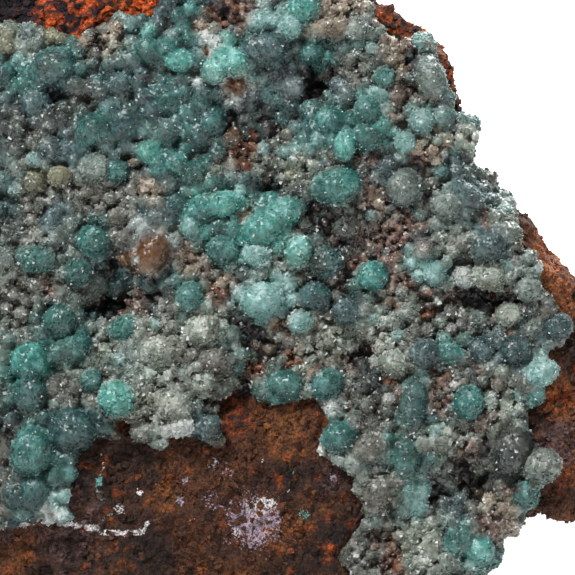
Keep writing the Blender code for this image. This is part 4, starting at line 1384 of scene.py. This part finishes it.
@dataclass
class Lumps:
    """Rounded lumps of the crust: middles, half sizes, turns, outward directions and growths."""

    places: Array
    sizes: Array
    turns: Array
    outwards: Array
    mix: Mix
    big: Array

    def joined_with(self, other: "Lumps") -> "Lumps":
        """Return these lumps and others in one table."""
        return Lumps(
            np.concatenate([self.places, other.places]),
            np.concatenate([self.sizes, other.sizes]),
            np.concatenate([self.turns, other.turns]),
            np.concatenate([self.outwards, other.outwards]),
            Mix(np.concatenate([self.mix.shares, other.mix.shares])),
            np.concatenate([self.big, other.big]),
        )


@dataclass
class NamedBalls:
    """The balls, ridges and knobs that the photograph shows, each at its own place."""

    thickness: float = 1.65 * MM
    ball_sink: float = 0.45
    ball_fullness: float = 1.08
    knob_sink: float = 0.3
    knob_flatness: float = 0.9
    knob_turn: float = 31.0
    viewpoint: float = 22.0 * MM

    def lumps(self, rock: BVHTree, skin: BVHTree) -> Lumps:
        """Return the balls that the crust's solid has too, and the knobs on its skin.

        Args:
            rock: search tree of the rock.
            skin: search tree of the crust.

        Returns:
            All of them.
        """
        out = Vector(FACE.axes[2])
        rows = []
        for ball in BALLS:
            hit = self.first_hit(rock, ball.across, ball.down)
            if hit is not None:
                rise = self.thickness + (ball.stand - self.ball_sink) * 0.5 * ball.width * MM
                length = self.ball_fullness * ball.length
                width = self.ball_fullness * ball.width
                rows.append((hit + out * rise, (length, width, width), self.turn(ball.turn),
                             ball.growth, True))
        for knob in KNOBS:
            hit = self.first_hit(skin, knob.across, knob.down)
            if hit is not None:
                width = 2.0 * knob.radius * FACE.pixel / MM
                turn = self.turn(self.knob_turn * (len(rows) + 1))
                rows.append((hit - out * (self.knob_sink * 0.5 * width * MM),
                             (width, width * self.knob_flatness, width), turn, knob.growth, False))
        places, sizes, turns, growths, big = zip(*rows)
        outwards = np.tile(FACE.axes[2], (len(places), 1))
        return Lumps(np.array(places), 0.5 * MM * np.array(sizes), np.array(turns), outwards,
                     Mix.of(growths), np.array(big))

    def first_hit(self, tree: BVHTree, across: float, down: float) -> Vector | None:
        """Return where the line of sight through a pixel first meets a surface."""
        start = Vector(FACE.points([(across, down)], self.viewpoint)[0])
        return tree.ray_cast(start, -Vector(FACE.axes[2]))[0]

    def turn(self, degrees: float) -> Array:
        """Return the turn of a ball whose length lies along the face."""
        angle = math.radians(degrees)
        across, up, out = FACE.axes
        length = math.cos(angle) * across + math.sin(angle) * up
        width = -math.sin(angle) * across + math.cos(angle) * up
        return np.stack([length, width, out], axis=1)


@dataclass
class SmallLumps:
    """Lumps scattered over the skin between the balls, as large and as close as each growth is."""

    zones: ZoneMap
    seed: int = 12
    cell: float = 3.0 * MM
    size_bias: float = 1.3
    stray: float = 1.0 * MM
    stand_spread: float = 0.12
    proportions: tuple[float, float] = (0.85, 1.15)
    named_room: float = 0.8

    def scattered(self, points: Array, outwards: Array, named: Lumps) -> Lumps:
        """Choose places on the skin that keep their distance from each other.

        Args:
            points: the skin's outer vertices.
            outwards: their normals.
            named: the balls and knobs that are there already.

        Returns:
            The lumps.
        """
        draw = np.random.default_rng(self.seed)
        mix = self.zones.mix(points)
        small = mix.number("small")
        share = draw.uniform(size=len(points)) ** self.size_bias
        radii = 0.5 * MM * (small + (mix.number("large") - small) * share)
        rooms = radii * mix.number("spacing")
        taken: dict[tuple[int, int, int], list[tuple[float, float, float, float]]]
        taken = defaultdict(list)
        for place, size in zip(named.places, named.sizes):
            self.take(taken, place.tolist(), self.named_room * size[1])
        chosen = []
        listed = points.tolist()
        for index in draw.permutation(len(points)).tolist():
            if self.is_free(taken, listed[index], rooms[index]):
                self.take(taken, listed[index], rooms[index])
                chosen.append(index)
        chosen = np.array(chosen)
        count = len(chosen)
        stand = mix.number("stand")[chosen] + draw.normal(0.0, self.stand_spread, count)
        radii = radii[chosen]
        places = points[chosen] + outwards[chosen] * (radii * stand)[:, None]
        sizes = radii[:, None] * draw.uniform(*self.proportions, (count, 3))
        strayed = places + draw.normal(0.0, self.stray, places.shape)
        return Lumps(places, sizes, random_turns(draw, count), outwards[chosen],
                     self.zones.mix(strayed), np.zeros(count, dtype=bool))

    def take(self, taken: dict, point: list[float], room: float) -> None:
        """Note that a lump has a place.

        Args:
            taken: the places that are taken, sorted into cells of space.
            point: the lump's place.
            room: the room that it keeps around itself.
        """
        key = tuple(math.floor(value / self.cell) for value in point)
        taken[key].append((*point, room))

    def is_free(self, taken: dict, point: list[float], room: float) -> bool:
        """Say whether a lump finds room at a point.

        Args:
            taken: the places that are taken, sorted into cells of space.
            point: where its middle would be.
            room: the room that it needs around itself.

        Returns:
            True if no taken place is too near.
        """
        x, y, z = point
        across, along, up = (math.floor(value / self.cell) for value in point)
        for i in (across - 1, across, across + 1):
            for j in (along - 1, along, along + 1):
                for k in (up - 1, up, up + 1):
                    for px, py, pz, reach in taken.get((i, j, k), ()):
                        apart = (px - x) ** 2 + (py - y) ** 2 + (pz - z) ** 2
                        if apart < (room + reach) ** 2:
                            return False
        return True


@dataclass
class Growing:
    """What the skin becomes as the lumps grow on it, for each of its vertices."""

    height: Array
    owner: Array
    valley: Array

    def some(self, kept: Array) -> "Growing":
        """Return what some of the vertices become."""
        return Growing(self.height[kept], self.owner[kept], self.valley[kept])


@dataclass
class Crust:
    """The blue-green crust: one skin that swells into all its balls and lumps."""

    zones: ZoneMap
    voxel: float = 0.28 * MM
    inner: float = 0.55 * MM
    inset: float = 0.5 * MM
    inner_share: float = 0.12
    most_triangles: int = 195000
    highest: float = 2.4 * MM
    lowest: float = -0.4 * MM
    granule: float = 0.42 * MM
    granule_height: float = 0.06 * MM
    granule_edge: float = 0.55
    wrinkles: tuple[tuple[float, float, float], ...] = (
        (0.12 * MM, 1.1 * MM, 21.0), (0.09 * MM, 0.55 * MM, 22.0))
    foot: float = 0.35 * MM
    lump_foot: float = 0.2 * MM
    crystal_foot: float = 0.4
    bare_valleys: float = 0.6
    overhang: float = 1.4
    jitter: float = 0.03 * MM
    stray: float = 0.05 * MM
    seed: int = 5
    # Direction of the key light: the side of the crust that faces it is painted lighter.
    painted_light_side: tuple[float, float, float] = (-0.3, -0.25, 0.9)
    stain: Colour = (92, 66, 36)
    stain_share: float = 0.5
    stain_size: float = 4.5 * MM
    hole_size: float = 2.2 * MM
    mottle_size: float = 1.7 * MM
    fine_mottle_size: float = 0.6 * MM
    valley_width: float = 0.16 * MM
    facing_share: float = 0.35
    own_share: tuple[float, float] = (0.92, 0.6)
    most_frost_and_highlight: float = 0.8
    most_mottle_and_painted_shade: float = 0.6
    # How far the creases between lumps take on painted shade.
    valley_painted_shade: float = 0.5
    lump_spread: float = 0.1
    grain_spread: float = 0.08
    finish: CrystalFinish = CrystalFinish("cuproadamite")
    cover: Array | None = None
    grain: Array | None = None

    def build(self) -> bpy.types.Object:
        """Return the crust's skin, which stands for its plain solid."""
        rock = tree_of(merged_copy("limonite_matrix"))
        mesh = self.base(rock)
        points = coordinates(mesh)
        outwards = normals(mesh)
        off = distances(points, rock)
        loose = np.clip((off - self.inner) / self.foot, 0.0, 1.0)
        points = self.set_back(points, outwards, loose)
        move_vertices(mesh, points)
        outer = np.flatnonzero(off > self.inner + self.lump_foot)
        named = NamedBalls().lumps(rock, tree_of(mesh))
        small = SmallLumps(self.zones).scattered(points[outer], outwards[outer], named)
        lumps = named.joined_with(small)
        LOG.info("lumps: %d", len(lumps.places))
        mix = self.zones.mix(points)
        growing = self.grow(points, outwards, mix, lumps)
        height = growing.height + self.granules(points)
        points = points + outwards * (height * loose)[:, None]
        move_vertices(mesh, points)
        mesh, kept = self.thinned(mesh)
        loose = loose[kept]
        mix = Mix(mix.shares[kept])
        growing = growing.some(kept)
        paint(mesh, self.tints(coordinates(mesh), normals(mesh), mix, lumps, growing))
        open_share = 1.0 - self.bare_valleys * growing.valley
        self.cover = mix.number("cover") * open_share * (loose > self.crystal_foot)
        self.grain = mix.number("grain")
        show_smooth(mesh, True)
        lay_out_sides(mesh)
        piece = new_piece("adamite_skin", mesh, self.finish.material())
        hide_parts("adamite_crust")
        return piece

    def thinned(self, mesh: bpy.types.Mesh) -> tuple[bpy.types.Mesh, Array]:
        """Take faces out of the grown skin where it is flattest.

        Args:
            mesh: the skin.

        Returns:
            The lighter mesh, and for each of its vertices the nearest one of the skin before.
        """
        points = coordinates(mesh)
        ratio = min(1.0, self.most_triangles / len(triangles(mesh)))
        thin = evaluated(mesh, "DECIMATE", decimate_type="COLLAPSE", ratio=ratio)
        tree = tree_of_points(points)
        return thin, np.array([tree.find(place)[1] for place in coordinates(thin)])

    def set_back(self, points: Array, outwards: Array, loose: Array) -> Array:
        """Make room for the lumps and break up the even rows of vertices.

        Args:
            points: the vertices of the crust's solid.
            outwards: their normals.
            loose: how free of the rock each vertex is, from 0 to 1.

        Returns:
            The vertices a little further in, each astray along the skin.
        """
        draw = np.random.default_rng(self.seed + 2)
        astray = draw.normal(0.0, self.stray, points.shape)
        astray -= (astray * outwards).sum(axis=1)[:, None] * outwards
        return points + (astray - outwards * self.inset) * loose[:, None]

    def base(self, rock: BVHTree) -> bpy.types.Mesh:
        """Return the crust's solid with small even faces outside and few faces on the rock."""
        mesh = evaluated(merged_copy("adamite_crust"), "REMESH", mode="VOXEL",
                         voxel_size=self.voxel)
        smooth(mesh, 2)
        hidden = np.flatnonzero(distances(coordinates(mesh), rock) < self.inner)
        share = len(hidden) / len(mesh.vertices)
        ratio = 1.0 - share * (1.0 - self.inner_share)
        return evaluated(mesh, "DECIMATE", {"hidden": hidden}, decimate_type="COLLAPSE",
                         ratio=ratio, vertex_group="hidden")

    def grow(self, points: Array, outwards: Array, mix: Mix, lumps: Lumps) -> Growing:
        """Find how far each vertex moves out to lie on the lumps that cover it.

        Args:
            points: the vertices.
            outwards: their normals.
            mix: the growths there.
            lumps: the lumps.

        Returns:
            Heights, and the lump that each vertex lies on.
        """
        steep = 1.0 / (MM * mix.number("softness"))
        floor = -MM * mix.number("sink")
        total = np.exp(floor * steep)
        best = floor.copy()
        second = floor.copy()
        owner = np.full(len(points), -1)
        tree = tree_of_points(points)
        for number, centre in enumerate(lumps.places):
            reach = 1.5 * lumps.sizes[number].max() + 0.3 * MM
            near = np.array([item[1] for item in tree.find_range(centre, reach)], dtype=int)
            if len(near) == 0:
                continue
            shrink = lumps.turns[number] / lumps.sizes[number]
            middle = (points[near] - centre) @ shrink
            ray = outwards[near] @ shrink
            a = (ray * ray).sum(axis=1)
            b = (middle * ray).sum(axis=1)
            c = (middle * middle).sum(axis=1) - 1.0
            inside = b * b - a * c
            agree = outwards[near] @ lumps.outwards[number] > self.facing_share
            meets = (inside > 0.0) & ((c <= 0.0) | (b > 0.0) | (agree & ~lumps.big[number]))
            near = near[meets]
            height = (np.sqrt(inside[meets]) - b[meets]) / a[meets]
            fits = (height < self.overhang * self.highest) & (height > self.lowest)
            near = near[fits]
            height = np.minimum(height[fits], self.highest)
            total[near] += np.exp(height * steep[near])
            higher = height > best[near]
            second[near] = np.where(higher, best[near], np.maximum(second[near], height))
            best[near] = np.where(higher, height, best[near])
            owner[near[higher]] = number
        valley = np.exp(-np.maximum(best - second, 0.0) / self.valley_width)
        valley[owner < 0] = 1.0
        return Growing(np.log(total) / steep, owner, valley)

    def granules(self, points: Array) -> Array:
        """Return how far the druse's tiny knobs stand out at each vertex."""
        cells = noise.voronoi
        near = np.array([cells(Vector(point))[0][0] for point in points / self.granule])
        draw = np.random.default_rng(self.seed)
        rough = draw.normal(0.0, self.jitter, len(points))
        for height, size, shift in self.wrinkles:
            rough += height * noise_at(points, size, shift)
        dome = 1.0 - np.clip(near / self.granule_edge, 0.0, 1.5) ** 2
        return self.granule_height * dome + rough

    def tints(self, points: Array, facing: Array, mix: Mix, lumps: Lumps,
              growing: Growing) -> Array:
        """Return the crust's colours, with painted light and shade: lighter on the side facing the
        key light, pale painted sheen on the balls' rims, and darker away from the light and in
        creases.

        Args:
            points: the vertices, in their final places.
            facing: their normals there.
            mix: the growths there.
            lumps: the lumps.
            growing: which lump each vertex lies on.

        Returns:
            Amounts of light, one row for each vertex.
        """
        draw = np.random.default_rng(self.seed + 1)
        owner = growing.owner
        free = owner < 0
        middle = points - lumps.places[owner]
        crown = np.einsum("ni,ni->n", unit(middle), lumps.outwards[owner])
        own = np.where(lumps.big[owner], *self.own_share) * np.clip(0.3 + crown, 0.0, 1.0)
        own = np.where(free, 0.0, own)[:, None]
        shade = draw.normal(1.0, self.lump_spread, len(lumps.places))
        shade = np.where(free, 1.0, shade[owner])
        main, light, deep = (
            mix.colour(name) * (1.0 - own) + lumps.mix.colour(name)[owner] * own
            for name in ("main", "light", "deep"))
        mottle = noise_at(points, self.mottle_size, 3.0)
        mottle += 0.7 * noise_at(points, self.fine_mottle_size, 13.0)
        # Painted highlight: the side facing the key light is painted lighter, and so are the
        # balls' pale rims, partly frost and partly painted sheen.
        painted_lit = np.clip(facing @ unit(np.array(self.painted_light_side)), 0.0, 1.0)
        pale_rim_and_painted_sheen = np.where(free, 0.0, np.clip(1.5 * (0.62 - crown), 0.0, 1.0)) * (0.25 + 0.75 * painted_lit)
        frost_and_painted_highlight = 0.8 * mottle + 0.4 * pale_rim_and_painted_sheen + 0.4 * painted_lit - 0.14
        frost_and_painted_highlight += 0.2 * draw.normal(size=len(points))
        tints = main + np.clip(frost_and_painted_highlight, 0.0, self.most_frost_and_highlight)[:, None] * (light - main)
        # Painted shade: the side away from the key light is painted darker, and so is darker
        # mottle.
        dark = np.clip(0.45 - 0.9 * painted_lit - 0.7 * mottle, 0.0, self.most_mottle_and_painted_shade)[:, None]
        tints += dark * (deep - tints)
        # Painted shade in the creases between lumps.
        valley = growing.valley * np.clip(2.2 * (1.0 - crown), 0.0, 1.0)
        valley = np.where(free, 1.0, valley)
        tints += self.valley_painted_shade * valley[:, None] * (deep - tints)
        stain = np.clip(2.2 * noise_at(points, self.stain_size, 31.0) - 0.15, 0.0, 1.0)
        stain = self.stain_share * stain * (0.3 + 0.7 * valley)
        tints += stain[:, None] * (linear(self.stain) - tints)
        # The dark colour of the matrix in the cracks and on the bare skin between lumps, with
        # painted shade in these gaps.
        holes = 0.5 + 1.1 * noise_at(points, self.hole_size, 17.0)
        cracks_and_painted_shade = mix.number("cracks") * np.clip(1.6 * valley - 0.5, 0.0, 1.0) * holes
        cracks_and_painted_shade = np.where(free, np.maximum(cracks_and_painted_shade, 0.5 + 0.5 * mix.number("cracks")), cracks_and_painted_shade)
        tints += np.clip(cracks_and_painted_shade, 0.0, 1.0)[:, None] * (mix.colour("bed_and_painted_shade") - tints)
        return tints * (shade * draw.normal(1.0, self.grain_spread, len(points)))[:, None]


@dataclass
class Druse:
    """The tiny crystals that stand all over the crust."""

    seed: int = 40
    limit: int = 62000
    per_piece: int = 21000
    white_share: float = 0.03
    white: float = 0.8
    whitening: float = 0.6
    tip_light: float = 0.25
    lean: float = 0.4
    shades: tuple[float, float] = (0.85, 1.35)
    widths: tuple[float, float] = (0.7, 1.35)
    proportions: tuple[float, float] = (0.8, 1.2)
    finish: CrystalFinish = CrystalFinish("druse", roughness=0.36, tilt=0.15, unevenness=0.1)

    def build(self, skin: bpy.types.Object, crust: Crust) -> list[bpy.types.Object]:
        """Return the pieces that hold the crystals.

        Args:
            skin: the crust's skin.
            crust: what the skin was made from, with the crystals' cover and size.

        Returns:
            The pieces.
        """
        draw = np.random.default_rng(self.seed)
        seats = Seats.on(skin.data, crust.cover, draw)
        LOG.info("crystals wanted: %d", len(seats))
        if len(seats) > self.limit:
            seats = seats.some(draw.permutation(len(seats))[: self.limit])
        grain = self.grain_at(seats.places, skin.data, crust.grain)
        seats.tints *= draw.uniform(*self.shades, (len(seats), 1))
        white = draw.uniform(size=len(seats)) < self.white_share
        seats.tints[white] += self.whitening * (self.white - seats.tints[white])
        leaning = unit(seats.outwards + draw.normal(0.0, self.lean, seats.outwards.shape))
        turns = turns_along(leaning, draw)
        width = MM * grain * draw.uniform(*self.widths, len(seats))
        sizes = width[:, None] * draw.uniform(*self.proportions, (len(seats), 3))
        crowd = Crowd.of_stubs(kinds=12, sides=3, jitter=0.12, seed=91)
        material = self.finish.material()
        pieces = []
        for number, start in enumerate(range(0, len(seats), self.per_piece)):
            part = slice(start, start + self.per_piece)
            name = f"druse_{number + 1}"
            mesh = crowd.joined(name, seats.some(part), turns[part], sizes[part], draw,
                                self.tip_light)
            pieces.append(new_piece(name, mesh, material))
        return pieces

    def grain_at(self, places: Array, mesh: bpy.types.Mesh, grain: Array) -> Array:
        """Return the crystals' width in millimetres at each place.

        Args:
            places: the places.
            mesh: the skin.
            grain: the width at each of the skin's vertices.

        Returns:
            The width at the skin's vertex nearest to each place.
        """
        tree = tree_of_points(coordinates(mesh))
        return grain[[tree.find(place)[1] for place in places]]


class Lamp(NamedTuple):
    """A soft square light: its place, its width, its power in watts and what it points at."""

    name: str
    place: tuple[float, float, float]
    width: float
    power: float
    target: tuple[float, float, float]


LAMPS = [Lamp(*row) for row in (
    ("key_light", (-0.28, -0.30, 0.78), 0.18, 8.1, FACE.middle),
    ("fill_light", (0.5, -0.6, 0.3), 0.5, 0.6, FACE.middle),
    ("back_light", (0.45, 0.8, 0.7), 0.5, 17.0, (0.08, 0.12, 0.0)),
    ("floor_light", (0.0, 2.2, 1.6), 1.5, 70.0, (0.0, 2.0, 0.0)),
)]


@dataclass
class Studio:
    """The pale floor, the soft lights and the camera."""

    distance: float = 0.6
    sensor: float = 36.0
    floor_size: float = 8.0
    floor_colour: tuple[float, float, float, float] = (0.9, 0.9, 0.9, 1.0)
    floor_roughness: float = 0.9
    room_light: float = 0.16

    def build(self) -> None:
        """Set up the floor, the lights, the surroundings and the camera."""
        self.add_floor()
        for lamp in LAMPS:
            self.add_light(lamp)
        self.add_surroundings()
        self.add_camera()

    def add_floor(self) -> None:
        """Lay the floor that the specimen rests on."""
        bm = bmesh.new()
        bmesh.ops.create_grid(bm, x_segments=1, y_segments=1, size=self.floor_size / 2)
        mesh = bpy.data.meshes.new("floor")
        bm.to_mesh(mesh)
        bm.free()
        floor = bpy.data.objects.new("floor", mesh)
        bpy.context.scene.collection.objects.link(floor)
        bench = Bench("pale_floor")
        bench.feed(bench.shader, {
            "Base Color": self.floor_colour, "Roughness": self.floor_roughness})
        mesh.materials.append(bench.material)

    def add_light(self, lamp: Lamp) -> None:
        """Add a soft square light."""
        source = bpy.data.lights.new(lamp.name, "AREA")
        source.shape = "SQUARE"
        source.size = lamp.width
        source.energy = lamp.power
        light = bpy.data.objects.new(lamp.name, source)
        light.location = lamp.place
        aim = Vector(lamp.target) - Vector(lamp.place)
        light.rotation_euler = aim.to_track_quat("-Z", "Y").to_euler()
        bpy.context.scene.collection.objects.link(light)

    def add_surroundings(self) -> None:
        """Surround the scene with plain white light."""
        world = bpy.data.worlds.new("white_room")
        world.use_nodes = True
        background = world.node_tree.nodes["Background"]
        background.inputs["Color"].default_value = (1.0, 1.0, 1.0, 1.0)
        background.inputs["Strength"].default_value = self.room_light
        bpy.context.scene.world = world
        bpy.context.scene.view_settings.view_transform = "Standard"

    def add_camera(self) -> None:
        """Look straight at the display face, framed as the photograph is."""
        lens = bpy.data.cameras.new("camera")
        lens.sensor_width = self.sensor
        lens.lens = self.sensor * self.distance / (FACE.picture * FACE.pixel)
        lens.clip_start = 0.01
        camera = bpy.data.objects.new("camera", lens)
        axes = Matrix([Vector(axis) for axis in FACE.axes]).transposed()
        place = Vector(FACE.middle) + Vector(FACE.axes[2]) * self.distance
        camera.matrix_world = Matrix.Translation(place) @ axes.to_4x4()
        bpy.context.scene.collection.objects.link(camera)
        bpy.context.scene.camera = camera


def main() -> None:
    """Build the specimen's pieces in order and report each."""
    logging.basicConfig(level=logging.INFO, format="%(message)s")
    Studio().build()
    pieces = Rock().build()
    crust = Crust(ZoneMap())
    skin = crust.build()
    pieces.append(skin)
    pieces.extend(Druse().build(skin, crust))
    for piece in pieces:
        LOG.info("%s: %d triangles", piece.name, len(triangles(piece.data)))
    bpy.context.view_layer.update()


if __name__ == "__main__":
    main()
